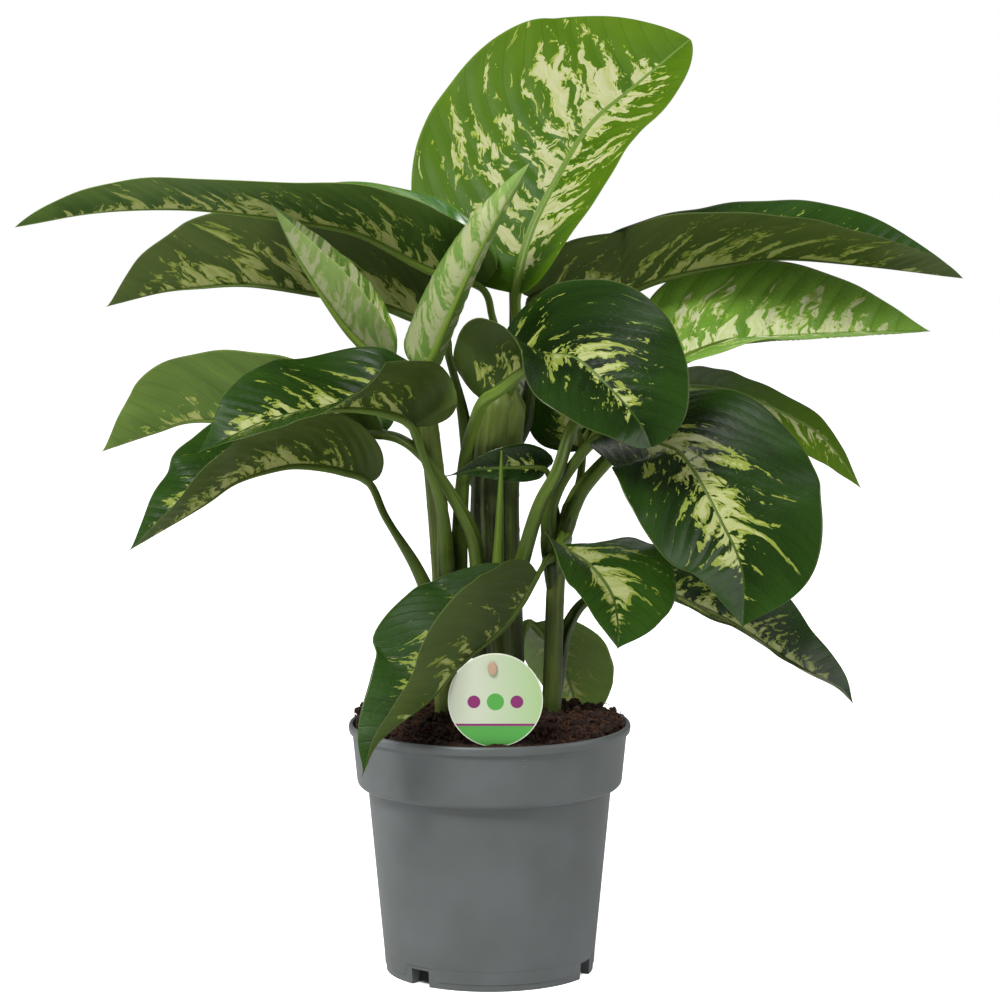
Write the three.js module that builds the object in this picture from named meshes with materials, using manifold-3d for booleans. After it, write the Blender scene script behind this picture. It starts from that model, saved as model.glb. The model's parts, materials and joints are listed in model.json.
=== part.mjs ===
// A potted dieffenbachia: a grey nursery pot filled with peat, four canes standing in it, and
// leaves with long stalks that grow from the canes. All sizes are in millimetres, +Z is up, and
// the origin is in the middle of the pot's underside. -Y is the plant's front.
import * as THREE from 'three';
import { mergeVertices } from 'three/addons/utils/BufferGeometryUtils.js';
import Module from 'manifold-3d';

const wasm = await Module();
wasm.setup();

// Driving dimensions
const clearGap = 0.3;
const potHeight = 169;
const rimRadius = 95;
const footRadius = 71;
const potSides = 36;
const stemSides = 10;
const stemBottom = 90;
const pathSteps = 16;
const bladeThickness = 0.9;
const tipHalfWidth = 1.2;

const plant = new THREE.Group();

function addPiece(name, geometry, color, roughness) {
  const material = new THREE.MeshStandardMaterial({ color, roughness, metalness: 0 });
  const mesh = new THREE.Mesh(geometry, material);
  mesh.name = name;
  plant.add(mesh);
}

function mix(a, b, k) {
  return a + (b - a) * k;
}

// Booleans

function toSolid(geometry) {
  const bare = geometry.clone();
  bare.deleteAttribute('normal');
  bare.deleteAttribute('uv');
  const merged = mergeVertices(bare, 1e-4);
  const vertProperties = new Float32Array(merged.attributes.position.array);
  const triVerts = new Uint32Array(merged.index.array);
  return new wasm.Manifold(new wasm.Mesh({ numProp: 3, vertProperties, triVerts }));
}

function toGeometry(solid) {
  const mesh = solid.getMesh();
  const geometry = new THREE.BufferGeometry();
  geometry.setAttribute('position', new THREE.BufferAttribute(mesh.vertProperties.slice(), 3));
  geometry.setIndex(new THREE.BufferAttribute(mesh.triVerts.slice(), 1));
  return geometry;
}

function cutAway(geometry, cutters) {
  let solid = toSolid(geometry);
  for (const cutter of cutters) solid = solid.subtract(toSolid(cutter));
  return toGeometry(solid);
}

// Closed bodies from rings of points

function geometryFrom(points, triangles) {
  const geometry = new THREE.BufferGeometry();
  const flat = points.flatMap((p) => [p.x, p.y, p.z]);
  geometry.setAttribute('position', new THREE.Float32BufferAttribute(flat, 3));
  geometry.setIndex(triangles);
  return geometry;
}

function bodyFromRings(rings) {
  const sides = rings[0].length;
  const points = rings.flat();
  const triangles = [];
  for (let i = 0; i < rings.length - 1; i++) {
    for (let j = 0; j < sides; j++) {
      const a = i * sides + j;
      const b = i * sides + ((j + 1) % sides);
      triangles.push(a, b, a + sides, b, b + sides, a + sides);
    }
  }
  const last = points.length - sides;
  const foot = points.push(middleOf(rings[0])) - 1;
  const top = points.push(middleOf(rings.at(-1))) - 1;
  for (let j = 0; j < sides; j++) {
    const k = (j + 1) % sides;
    triangles.push(foot, k, j, top, last + j, last + k);
  }
  return geometryFrom(points, triangles);
}

function middleOf(ring) {
  const sum = new THREE.Vector3();
  for (const p of ring) sum.add(p);
  return sum.divideScalar(ring.length);
}

function circleRing(radius, height, sides) {
  const ring = [];
  for (let j = 0; j < sides; j++) {
    const angle = (2 * Math.PI * j) / sides;
    ring.push(new THREE.Vector3(radius * Math.cos(angle), radius * Math.sin(angle), height));
  }
  return ring;
}

// Smooth paths through hand-set points, measured in millimetres along them

function tracePath(points) {
  const knots = points.map((p) => new THREE.Vector3(...p));
  const curve = new THREE.CatmullRomCurve3(knots, false, 'catmullrom', 0.5);
  const samples = curve.getPoints((points.length - 1) * pathSteps);
  const distances = [0];
  for (let i = 1; i < samples.length; i++) {
    distances.push(distances[i - 1] + samples[i].distanceTo(samples[i - 1]));
  }
  return { samples, distances, total: distances.at(-1) };
}

function pointOn(path, distance) {
  const { samples, distances } = path;
  let i = 1;
  while (i < samples.length - 1 && distances[i] < distance) i++;
  const k = (distance - distances[i - 1]) / (distances[i] - distances[i - 1]);
  return samples[i - 1].clone().lerp(samples[i], k);
}

function directionOn(path, distance) {
  const reach = 2;
  const d = THREE.MathUtils.clamp(distance, reach, path.total - reach);
  return pointOn(path, d + reach).sub(pointOn(path, d - reach)).normalize();
}

function squareTo(direction, vector) {
  return vector.clone().addScaledVector(direction, -vector.dot(direction)).normalize();
}

// Pot

const potProfile = [
  [0, 0], [20, 0], [21, 9], [62.5, 9], [64.5, 0], [footRadius - 0.6, 0],
  [footRadius - 0.4, 2.4], [footRadius - 1.2, 3], [footRadius - 0.8, 12.4], [footRadius + 0.6, 13.2],
  [82, 124.6], [82, 125.6], [86.4, 126.2], [88.6, 128], [89.4, 131.5],
  [92.6, 163.4], [94.6, 164.4], [rimRadius, 166.8], [94.2, potHeight], [92.2, potHeight],
  [91.2, 165], [87.7, 133.2], [85.8, 129], [80.6, 127.6], [69.7, 15], [66.5, 12], [0, 12],
];
const drainNotch = { width: 15, height: 11, reach: 12, angles: [-131, -24, 49, 121, 169] };

function buildPot() {
  const profile = potProfile.map(([r, z]) => new THREE.Vector2(r, z));
  const shell = new THREE.LatheGeometry(profile, potSides);
  shell.rotateX(Math.PI / 2);
  const notches = drainNotch.angles.map((degrees) => {
    const box = new THREE.BoxGeometry(drainNotch.reach, drainNotch.width, drainNotch.height);
    box.translate(footRadius - 2, 0, drainNotch.height / 2 - 0.02);
    box.rotateZ(THREE.MathUtils.degToRad(degrees));
    return box;
  });
  addPiece('pot', cutAway(shell, notches), 0x6a7072, 0.55);
}

// Soil, with a plain hole for each cane and for the label's stake

const soilEdge = [[66.2, 12.4], [69.4, 15.3], [80.2, 128.1], [85.5, 129.5], [87.3, 133.6], [90.6, 164.4]];
const soilRings = [86, 74, 58, 38, 18];

function soilHeight(radius, angle) {
  const mound = 10 * (1 - (radius / 92) ** 2);
  const lumps = 2.2 * Math.sin(3 * angle + 0.6) * Math.sin(radius / 13)
    + 1.6 * Math.sin(7 * angle + 1.9) * Math.sin(radius / 9 + 1);
  const leftBank = 7 * Math.exp(-((radius - 80) ** 2) / 500) * Math.max(0, -Math.cos(angle + 0.25)) ** 3;
  return 168 + mound + lumps + leftBank;
}

function buildSoil(holes) {
  const rings = soilEdge.map(([r, z]) => circleRing(r, z, potSides));
  for (const radius of soilRings) {
    const ring = circleRing(radius, 0, potSides);
    ring.forEach((p) => p.setZ(soilHeight(radius, Math.atan2(p.y, p.x))));
    rings.push(ring);
  }
  addPiece('soil', cutAway(bodyFromRings(rings), holes), 0x3a2318, 1);
}

// Canes, thickest at the soil

const canes = {
  cane_left: {
    path: [[-27, -15, stemBottom], [-29, -15, 186], [-30, -15, 254], [-36, -15, 330], [-41, -17, 378]],
    radius: [8.5, 6.5],
  },
  cane_front: {
    path: [[10, -26, stemBottom], [10, -25, 195], [6, -23, 250], [5, -23, 278]],
    radius: [8, 7],
  },
  cane_right: {
    path: [[40, -8, stemBottom], [42, -10, 190], [45, -10, 276], [54, -8, 312]],
    radius: [7, 5.8],
  },
  cane_middle: {
    path: [[6, 14, stemBottom], [6, 14, 190], [4, 12, 300], [6, 11, 350], [12, 10, 402]],
    radius: [17.5, 15.5],
  },
};
const spear = { path: [[5, -23, 278.7], [7, -25, 320], [8, -26, 356]], radius: [4.2, 0.9] };

function tubeRings(path, radii, sides) {
  const rings = [];
  const steps = Math.max(3, Math.round(path.total / 45));
  const across = new THREE.Vector3(1, 0, 0);
  for (let i = 0; i <= steps; i++) {
    const k = i / steps;
    const direction = directionOn(path, path.total * k);
    const u = squareTo(direction, across);
    const v = direction.clone().cross(u);
    const centre = pointOn(path, path.total * k);
    const ring = [];
    for (let j = 0; j < sides; j++) {
      const angle = (2 * Math.PI * j) / sides;
      ring.push(centre.clone()
        .addScaledVector(u, mix(...radii, k) * Math.cos(angle))
        .addScaledVector(v, mix(...radii, k) * Math.sin(angle)));
    }
    rings.push(ring);
  }
  return rings;
}

function buildCanes() {
  const holes = [];
  for (const [name, cane] of Object.entries(canes)) {
    const path = tracePath(cane.path);
    addPiece(name, bodyFromRings(tubeRings(path, cane.radius, stemSides)), 0x4d6a2c, 0.5);
    const looser = cane.radius.map((r) => r + clearGap + 0.2);
    const sleeve = bodyFromRings(tubeRings(path, looser, stemSides));
    holes.push(sleeve.translate(0, 0, -clearGap));
  }
  const spearRings = tubeRings(tracePath(spear.path), spear.radius, stemSides);
  addPiece('leaf_spear', bodyFromRings(spearRings), 0x7d9a56, 0.5);
  return holes;
}

// Label: a round disc pinned to a stake that stands in the soil just inside the rim

const label = { centre: [4, -86.4, 199], radius: 31, thickness: 1, hole: 2.6, pinX: 2, pinZ: 220 };
const stake = { width: 7, thickness: 1.6, bottom: 138, top: 226 };
const stakePin = { radius: 2.2, headRadius: 3.6, headThickness: 1.6 };

function buildLabel() {
  const [x, y, z] = label.centre;
  const face = new THREE.Shape().absarc(0, 0, label.radius, 0, 2 * Math.PI);
  face.holes.push(new THREE.Path().absarc(label.pinX - x, label.pinZ - z, label.hole, 0, 2 * Math.PI));
  const disc = new THREE.ExtrudeGeometry(face,
    { depth: label.thickness, bevelEnabled: false, curveSegments: 20 });
  disc.rotateX(Math.PI / 2);
  disc.translate(x, y + label.thickness / 2, z);
  addPiece('label_disc', disc, 0xcfe3b4, 0.35);

  const back = y + label.thickness / 2 + clearGap;
  const frontOfHead = y - label.thickness / 2 - clearGap - stakePin.headThickness;
  const height = stake.top - stake.bottom;
  const strip = new THREE.BoxGeometry(stake.width, stake.thickness, height);
  strip.translate(label.pinX, back + stake.thickness / 2, stake.bottom + height / 2);
  const pinLength = back + 1 - frontOfHead;
  const pin = new THREE.CylinderGeometry(stakePin.radius, stakePin.radius, pinLength, 12);
  pin.translate(label.pinX, frontOfHead + pinLength / 2, label.pinZ);
  const { headRadius, headThickness } = stakePin;
  const head = new THREE.CylinderGeometry(headRadius, headRadius, headThickness, 16);
  head.translate(label.pinX, frontOfHead + stakePin.headThickness / 2, label.pinZ);
  const joined = toSolid(strip).add(toSolid(pin)).add(toSolid(head));
  addPiece('label_stake', toGeometry(joined), 0xd9c39a, 0.5);

  const slot = new THREE.BoxGeometry(stake.width + 2 * clearGap, stake.thickness + 2 * clearGap, height);
  slot.translate(label.pinX, back + stake.thickness / 2, stake.bottom - clearGap + height / 2);
  const gap = 2 * clearGap;
  const grooveRadius = label.radius + gap;
  const groove = new THREE.CylinderGeometry(grooveRadius, grooveRadius, label.thickness + gap, 40);
  groove.translate(x, y, z);
  return [slot, groove];
}

// Leaves: one closed body each, a round stalk that widens into a thin blade. left and right are
// the halves as seen from the stalk, looking to the tip with the upper side up. lift is how far a
// half rises from the midrib and curl how much more it turns up by its margin, both in degrees and
// both given at the base and at the tip. face is where the upper side looks: base, middle, tip.

const leafColours = { bright: 0x4a7a2c, dark: 0x2a4a22, pale: 0x8aa864 };
const bladeRows = [0, 0.05, 0.13, 0.24, 0.37, 0.5, 0.63, 0.76, 0.88, 0.96, 1];
const bladeColumns = [-1, -0.5, 0, 0.5, 1];
const sweep = 0.35;

const leaves = {
  leaf_crown: {
    petiole: [[15.6, 10, 403], [17, 8, 422], [18, 6, 440]],
    midrib: [[18, 5, 458], [27, 15, 496], [45, 30, 532], [68, 50, 568], [99, 70, 594], [137, 95, 625]],
    face: [[-0.3, -1, 0.2], [-0.3, -0.9, 0.4], [-0.2, -0.8, 0.6]],
    left: { width: 100, lift: 5, curl: 10 },
    right: { width: 54, lift: [30, 12], curl: [20, 10] },
    belly: 0.34, taper: 0.85, lobe: 4, stalk: [4.5, 3.4],
  },
  leaf_upper_left: {
    petiole: [[5.2, 5, 403.6], [5.6, 5, 422], [2, 5, 442]],
    midrib: [[-6, 4, 462], [-41, 2, 475], [-82, -8, 497], [-112, -16, 505], [-158, -26, 512],
      [-203, -34, 516], [-256, -44, 514], [-308, -55, 505]],
    face: [[0.2, -0.1, 1], [0, 0, 1], [0, 0, 1]],
    left: { width: 55, lift: [80, 44, 32, 29, 42, 60] },
    right: { width: 55, lift: [85, 46, 18, 10, 20, 30] },
    belly: 0.25, taper: 0.9, lobe: 16, wave: 1, stalk: [3.6, 2.6],
  },
  leaf_back_left: {
    colour: 'dark',
    petiole: [[-13.2, 19.2, 340], [-19, 23, 380], [-27, 28, 412]],
    midrib: [[-33, 32, 430], [-74, 45, 448], [-112, 60, 453], [-164, 80, 458], [-200, 95, 455],
      [-228, 105, 451], [-267, 120, 440]],
    face: [[0, 0, 1], [0, 0, 1], [0, 0, 1]],
    left: { width: 64, lift: 62 },
    right: { width: 55, lift: 40 },
    belly: 0.4,
  },
  leaf_rolled_right: {
    colour: 'pale',
    petiole: [[-41, -17, 378.8], [-42, -19, 392]],
    midrib: [[-42, -20, 406], [-21, -36, 458], [1, -46, 503], [26, -48, 546]],
    face: [[-0.2, 1, 0.3], [-0.3, 1, 0.3], [-0.3, 1, 0.3]],
    left: { width: 30, lift: 10, curl: 130 },
    right: { width: 46, lift: 10, curl: 140 },
    belly: 0.06, taper: 0.9, lobe: 0, stalk: [5, 3],
  },
  leaf_rolled_left: {
    colour: 'pale',
    petiole: [[-50, -13, 370], [-58, -10, 392]],
    midrib: [[-67, -12, 409], [-95, -20, 438], [-124, -34, 482], [-142, -48, 520]],
    face: [[0.8, 0.1, 0.4], [0.8, 0.1, 0.4], [0.8, 0.1, 0.4]],
    left: { width: 27, lift: 50, curl: 20 },
    right: { width: 32, lift: 60, curl: 20 },
    belly: 0.3, lobe: 0, stalk: [4, 3],
  },
  leaf_front_left: {
    colour: 'dark',
    petiole: [[-29, -27, 285], [-32, -36, 320], [-42, -41, 350]],
    midrib: [[-51, -41, 373], [-66, -50, 384], [-91, -60, 388], [-116, -80, 388], [-141, -100, 384],
      [-165, -120, 375], [-185, -130, 366]],
    face: [[-0.2, -0.2, 1], [-0.1, 0, 1], [-0.1, 0, 1]],
    left: { width: 54, lift: [88, 52, 24, 6, 2, 2, 4] },
    right: { width: 51, lift: [88, 40, 44, 42, 40] },
    belly: 0.28, taper: 1.2, lobe: 38,
  },
  leaf_middle_left: {
    petiole: [[-6.8, -22, 270], [-12.8, -28, 303], [-34, -28, 340], [-46, -27, 354], [-57, -14, 361]],
    midrib: [[-71, -2, 364], [-110, 22, 366], [-150, 45, 366], [-202, 75, 365], [-231, 92, 355],
      [-271, 115, 339]],
    face: [[0, 0, 1], [0, 0, 1], [0, 0, 1]],
    left: { width: 60, lift: 60 },
    right: { width: 55, lift: 30 },
    lobe: 8, stalk: [5, 3.6],
  },
  leaf_lower_left: {
    colour: 'dark',
    petiole: [[-37, -25.4, 252], [-50, -24, 280], [-69, -14, 310]],
    midrib: [[-80, -8, 332], [-98, -14, 342], [-125, -30, 347], [-144, -40, 345], [-167, -55, 338],
      [-188, -70, 324], [-233, -90, 298]],
    face: [[0, 0, 1], [0, 0, 1], [-0.3, 0, 1]],
    left: { width: 48, lift: [50, 50, 30] },
    right: { width: 52, lift: [30, 35, 45] },
    lobe: 12, wave: 2.5, phase: 0.3,
  },
  leaf_low_front: {
    colour: 'dark',
    petiole: [[41, -14.8, 283], [37, -27, 281]],
    midrib: [[32, -35, 274], [10, -60, 244], [-19, -85, 222], [-38, -100, 202], [-70, -115, 178],
      [-82, -122, 155]],
    face: [[-0.5, -0.4, 0.8], [-0.6, -0.5, 0.6], [-0.6, -0.6, 0.4]],
    left: { width: 49, lift: [80, 75, 60] },
    right: { width: 63, lift: 38 },
    belly: 0.33, taper: 1.5, wave: 0.5, stalk: [4.2, 1.8],
  },
  leaf_small_right: {
    petiole: [[50, -15.5, 296], [50, -26, 297]],
    midrib: [[47, -39, 294], [65, -60, 285], [79, -80, 269], [83, -95, 253], [83, -105, 236]],
    face: [[0.1, -0.2, 1], [0.3, -0.8, 0.5], [0.3, -0.8, 0.4]],
    left: { width: 48, lift: [0, 10, 10] },
    right: { width: 34, lift: [40, 20, 10] },
    lobe: 14,
  },
  leaf_front_centre: {
    colour: 'dark',
    petiole: [[-20.1, -10, 270], [-19, -8, 310], [-16, -9, 350], [-10, -24, 374]],
    midrib: [[-4, -42, 390], [10, -53, 404], [28, -65, 418], [44, -75, 424], [58, -85, 421],
      [78, -103, 404], [95, -117, 385], [103, -123, 369]],
    face: [[-0.3, -0.3, 1], [0, -0.5, 0.8], [0.5, -0.6, 0.5]],
    left: { width: 64, lift: 20 },
    right: { width: 56, lift: [100, 75, 15, 0, 0] },
    belly: 0.42, taper: 0.75, lobe: 18, stalk: [5, 4.2],
  },
  leaf_big_right: {
    colour: 'dark',
    petiole: [[39.9, -9.5, 298], [41, -15, 318], [52, -26, 342]],
    midrib: [[75, -34, 366], [115, -60, 363], [130, -75, 352], [149, -100, 319], [162, -115, 289],
      [162, -130, 254]],
    face: [[0, -0.3, 1], [0.3, -0.8, 0.6], [0.3, -1, 0.2]],
    left: { width: 75, lift: 10 },
    right: { width: 62, lift: 10 },
    belly: 0.44, lobe: 14, stalk: [5, 4],
  },
  leaf_low_right: {
    colour: 'dark',
    petiole: [[46.3, 0.4, 207], [51, 9, 228], [64, 20, 247], [88, 31, 256]],
    midrib: [[113, 40, 254], [144, 55, 239], [173, 70, 222], [216, 92, 190], [242, 100, 175],
      [255, 105, 162]],
    face: [[0, -0.6, 0.8], [0.2, -0.7, 0.7], [0.3, -0.6, 0.5]],
    left: { width: 52, lift: 5 },
    right: { width: 44, lift: [30, 45, 60] },
    lobe: 8, wave: 2, phase: 0.5,
  },
  leaf_middle_right: {
    petiole: [[17.5, -24, 266], [32, -31, 317], [45, -33, 343], [56, -22, 373], [76, 0, 394]],
    midrib: [[114, 36, 405], [157, 60, 420], [185, 75, 422], [249, 105, 423], [308, 130, 422]],
    face: [[0, -0.7, 0.7], [0, -0.7, 0.7], [0, -0.7, 0.7]],
    left: { width: 66, lift: 10 },
    right: { width: 54, lift: 45 },
    lobe: 12, stalk: [5, 4],
  },
  leaf_upper_right: {
    colour: 'dark',
    petiole: [[23.4, 24.5, 366], [29, 27, 405], [29, 24, 435]],
    midrib: [[28, 22, 453], [54, 30, 458], [88, 45, 456], [116, 55, 464], [157, 70, 472], [199, 85, 476],
      [256, 105, 470], [330, 130, 459]],
    face: [[0, 0, 1], [0, 0, 1], [0, 0, 1]],
    left: { width: 56, lift: [50, 42, 42, 60, 60] },
    right: { width: 54, lift: [78, 66, 36, 30, 36] },
    belly: 0.45, taper: 0.95, lobe: 22, wave: 0.5,
  },
  leaf_back_right: {
    petiole: [[55, -7, 314], [63, 0, 328], [82, 10, 348], [100, 20, 364]],
    midrib: [[118, 30, 390], [163, 55, 388], [208, 80, 367], [233, 90, 349], [258, 100, 315]],
    face: [[0, -0.1, 1], [0.1, -0.2, 1], [0.4, -0.3, 1]],
    left: { width: 36, lift: 14 },
    right: { width: 34, lift: -32 },
    stalk: [5, 4.2],
  },
  leaf_inner_back: {
    colour: 'dark',
    petiole: [[53.5, 0.7, 303], [59, 12, 322]],
    midrib: [[63, 40, 348], [58, 52, 372], [54, 58, 397], [48, 62, 425]],
    face: [[-0.2, -1, 0.2], [-0.2, -1, 0.2], [-0.2, -1, 0.4]],
    left: { width: 34, lift: 10 },
    right: { width: 34, lift: 10 },
    stalk: [3.5, 2.5],
  },
  leaf_inner_small: {
    colour: 'dark',
    petiole: [[45.5, -1.5, 300], [42, -4, 322]],
    midrib: [[37, -10, 341], [14, -14, 343], [-8, -16, 342], [-29, -20.5, 338]],
    face: [[0, -1, 0.3], [0, -1, 0.2], [0, -1, 0.3]],
    left: { width: 11, lift: 20 },
    right: { width: 17, lift: 30 },
    belly: 0.22, taper: 2, stalk: [3, 2],
  },
  leaf_back_high: {
    petiole: [[8, 31.5, 352], [14, 36, 390], [16, 44, 435]],
    midrib: [[16, 52, 465], [18, 84, 498], [20, 122, 524], [22, 160, 534], [23, 194, 530]],
    face: [[0, -0.6, 0.8], [0, -0.4, 0.9], [0, 0, 1]],
    left: { width: 38, lift: 22 },
    right: { width: 36, lift: 22 },
    lobe: 4,
  },
  leaf_back_centre: {
    petiole: [[-1, 32.2, 318], [3, 40, 345], [13, 56, 366]],
    midrib: [[18, 72, 374], [27, 108, 386], [34, 146, 387], [39, 184, 376], [42, 214, 356]],
    face: [[0, -0.3, 1], [0, 0, 1], [0, 0.3, 1]],
    left: { width: 42, lift: 24 },
    right: { width: 44, lift: 24 },
    lobe: 10,
  },
  leaf_low_back: {
    petiole: [[17.7, 31.9, 190], [20, 36, 214], [25, 40, 229]],
    midrib: [[29, 46, 228], [40, 66, 215], [51, 90, 191], [60, 108, 163], [66, 118, 138]],
    face: [[0.4, 0.8, 0.6], [0.5, 0.8, 0.5], [0.5, 0.8, 0.4]],
    left: { width: 42, lift: 10 },
    right: { width: 40, lift: 10 },
    belly: 0.3, lobe: 20,
  },
};

// Value between those that are set at equal steps from the base to the tip, on a smooth curve
// that leaves each of them at the slope between its neighbours.
function between(values, a) {
  if (typeof values === 'number') return values;
  const last = values.length - 1;
  const k = THREE.MathUtils.clamp(a, 0, 1) * last;
  const i = Math.min(Math.floor(k), last - 1);
  const slope = (j) => (values[Math.min(j + 1, last)] - values[Math.max(j - 1, 0)]) / 2;
  const t = k - i;
  const smoothStep = THREE.MathUtils.smoothstep(t, 0, 1);
  return mix(values[i], values[i + 1], smoothStep)
    + slope(i) * t * (1 - t) ** 2 - slope(i + 1) * (1 - t) * t ** 2;
}

function facing(leaf, a) {
  const axis = (i) => between(leaf.face.map((f) => f[i]), a);
  return new THREE.Vector3(axis(0), axis(1), axis(2));
}

function outline(leaf, a) {
  const { belly = 0.36, taper = 1.2 } = leaf;
  if (a < belly) return Math.sqrt(1 - (1 - a / belly) ** 2);
  return (1 - ((a - belly) / (1 - belly)) ** 2) ** taper;
}

function bladeFrame(leaf, distance) {
  const a = (distance - leaf.stalkLength) / leaf.bladeLength;
  const along = directionOn(leaf.path, Math.max(distance, leaf.stalkLength));
  const start = pointOn(leaf.path, leaf.stalkLength);
  const point = a < 0 ? start.addScaledVector(along, distance - leaf.stalkLength)
    : pointOn(leaf.path, distance);
  const up = squareTo(along, facing(leaf, a));
  return { point, along, up, side: along.clone().cross(up) };
}

// A point of the blade's middle surface, and the direction its upper side faces there.
function bladePoint(leaf, a, s) {
  const half = s < 0 ? leaf.left : leaf.right;
  const out = Math.abs(s);
  const { belly = 0.36, lobe = 6, wave = 0, waves = 2.5, phase = 0 } = leaf;
  const fullness = outline(leaf, a);
  const width = Math.max(half.width * fullness, tipHalfWidth);
  const back = lobe * out * fullness * Math.max(0, 1 - a / belly) ** 2;
  const distance = leaf.stalkLength + a * leaf.bladeLength + sweep * width * out ** 1.5 * a - back;
  const frame = bladeFrame(leaf, Math.min(distance, leaf.path.total));
  const lift = THREE.MathUtils.degToRad(between(half.lift, a));
  const curl = THREE.MathUtils.degToRad(between(half.curl ?? 0, a)) || 1e-6;
  const turn = lift + curl * out;
  const sideways = (width * (Math.sin(turn) - Math.sin(lift))) / curl;
  const cycle = 2 * Math.PI * (waves * a + phase + (s < 0 ? 0.5 : 0));
  const ripple = wave * out ** 2 * fullness * Math.sin(cycle);
  const rise = (width * (Math.cos(lift) - Math.cos(turn))) / curl + ripple;
  const sign = Math.sign(s);
  const point = frame.point.clone()
    .addScaledVector(frame.side, sign * sideways)
    .addScaledVector(frame.up, rise);
  const normal = frame.up.clone().multiplyScalar(Math.cos(turn))
    .addScaledVector(frame.side, -sign * Math.sin(turn));
  return { point, normal: s === 0 ? frame.up : normal };
}

// The stalk's rings carry the blade's rows of points, five above and five below.
function stalkRows(leaf) {
  const { stalk = [5, 2.8] } = leaf;
  const count = THREE.MathUtils.clamp(Math.round(leaf.stalkLength / 24), 2, 9);
  const rows = [];
  let up = bladeFrame(leaf, leaf.stalkLength).up;
  for (let i = count - 1; i >= 0; i--) {
    const distance = (leaf.stalkLength * i) / count;
    const along = directionOn(leaf.path, distance);
    up = squareTo(along, up);
    const side = along.clone().cross(up);
    const centre = pointOn(leaf.path, distance);
    const radius = mix(...stalk, Math.min(1, (1.6 * i) / count));
    const onCircle = (degrees) => {
      const angle = THREE.MathUtils.degToRad(degrees);
      return centre.clone().addScaledVector(side, radius * Math.cos(angle))
        .addScaledVector(up, radius * Math.sin(angle));
    };
    rows.unshift({
      upper: [162, 126, 90, 54, 18].map(onCircle),
      lower: [198, 234, 270, 306, 342].map(onCircle),
    });
  }
  return rows;
}

function bladeRow(leaf, a) {
  const { stalk = [5, 2.8] } = leaf;
  const upper = [];
  const lower = [];
  for (const s of bladeColumns) {
    const { point, normal } = bladePoint(leaf, a, s);
    const rib = s === 0 ? 1.4 * stalk[1] * (1 - a) ** 3 + 0.8 * (1 - a) : 0;
    upper.push(point.clone().addScaledVector(normal, bladeThickness / 2));
    lower.push(point.clone().addScaledVector(normal, -bladeThickness / 2 - rib));
  }
  return { upper, lower };
}

function leafGeometry(leaf) {
  leaf.path = tracePath([...leaf.petiole, ...leaf.midrib]);
  leaf.stalkLength = leaf.path.distances[leaf.petiole.length * pathSteps];
  leaf.bladeLength = leaf.path.total - leaf.stalkLength;
  const rows = [...stalkRows(leaf), ...bladeRows.map((a) => bladeRow(leaf, a))];
  const columns = bladeColumns.length;
  const points = rows.flatMap((row) => [...row.upper, ...row.lower]);
  const upper = (i, j) => i * 2 * columns + j;
  const lower = (i, j) => upper(i, j) + columns;
  const triangles = [];
  const quad = (a, b, c, d) => triangles.push(a, b, c, a, c, d);
  for (let i = 0; i < rows.length - 1; i++) {
    for (let j = 0; j < columns - 1; j++) {
      quad(upper(i, j), upper(i, j + 1), upper(i + 1, j + 1), upper(i + 1, j));
      quad(lower(i, j), lower(i + 1, j), lower(i + 1, j + 1), lower(i, j + 1));
    }
    const e = columns - 1;
    quad(upper(i, 0), upper(i + 1, 0), lower(i + 1, 0), lower(i, 0));
    quad(upper(i, e), lower(i, e), lower(i + 1, e), upper(i + 1, e));
  }
  const end = rows.length - 1;
  for (let j = 0; j < columns - 1; j++) {
    quad(upper(0, j), lower(0, j), lower(0, j + 1), upper(0, j + 1));
    quad(upper(end, j), upper(end, j + 1), lower(end, j + 1), lower(end, j));
  }
  return geometryFrom(points, triangles);
}

function buildLeaves() {
  for (const [name, leaf] of Object.entries(leaves)) {
    addPiece(name, leafGeometry(leaf), leafColours[leaf.colour ?? 'bright'], 0.4);
  }
}

buildPot();
buildSoil([...buildCanes(), ...buildLabel()]);
buildLeaves();

export default plant;
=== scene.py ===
# A potted dieffenbachia, dressed over its plain solids. Shapes are worked out in millimetres, as
# the solids were, and turned to metres when a mesh is made. -Y is the plant's front.
import json
import math

import bpy
import numpy as np
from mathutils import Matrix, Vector, noise


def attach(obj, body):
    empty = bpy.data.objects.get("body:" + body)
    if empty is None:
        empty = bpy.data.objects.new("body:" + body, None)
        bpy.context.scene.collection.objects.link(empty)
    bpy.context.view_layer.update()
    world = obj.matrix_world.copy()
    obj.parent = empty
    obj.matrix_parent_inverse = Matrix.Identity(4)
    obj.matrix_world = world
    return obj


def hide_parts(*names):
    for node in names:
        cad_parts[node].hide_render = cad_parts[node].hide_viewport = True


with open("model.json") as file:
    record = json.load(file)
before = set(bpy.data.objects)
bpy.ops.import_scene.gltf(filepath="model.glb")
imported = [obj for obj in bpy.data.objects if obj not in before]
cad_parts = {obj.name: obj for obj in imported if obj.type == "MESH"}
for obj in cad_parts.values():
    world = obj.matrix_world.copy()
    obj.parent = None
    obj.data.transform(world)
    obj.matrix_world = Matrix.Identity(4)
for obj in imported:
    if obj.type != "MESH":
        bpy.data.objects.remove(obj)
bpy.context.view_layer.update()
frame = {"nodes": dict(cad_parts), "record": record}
print("frame loaded:", len(frame["nodes"]), "nodes")

mm = 0.001
slots = {part["node"]: part["material_slot"] for part in frame["record"]["subparts"]}


def smooth(low, high, x):
    k = np.clip((x - low) / (high - low), 0, 1)
    return k * k * (3 - 2 * k)


def mix(a, b, k):
    return a + (b - a) * k


def unit(vectors):
    return vectors / np.linalg.norm(vectors, axis=-1, keepdims=True)


def dot(a, b):
    return np.sum(a * b, axis=-1, keepdims=True)


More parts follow.
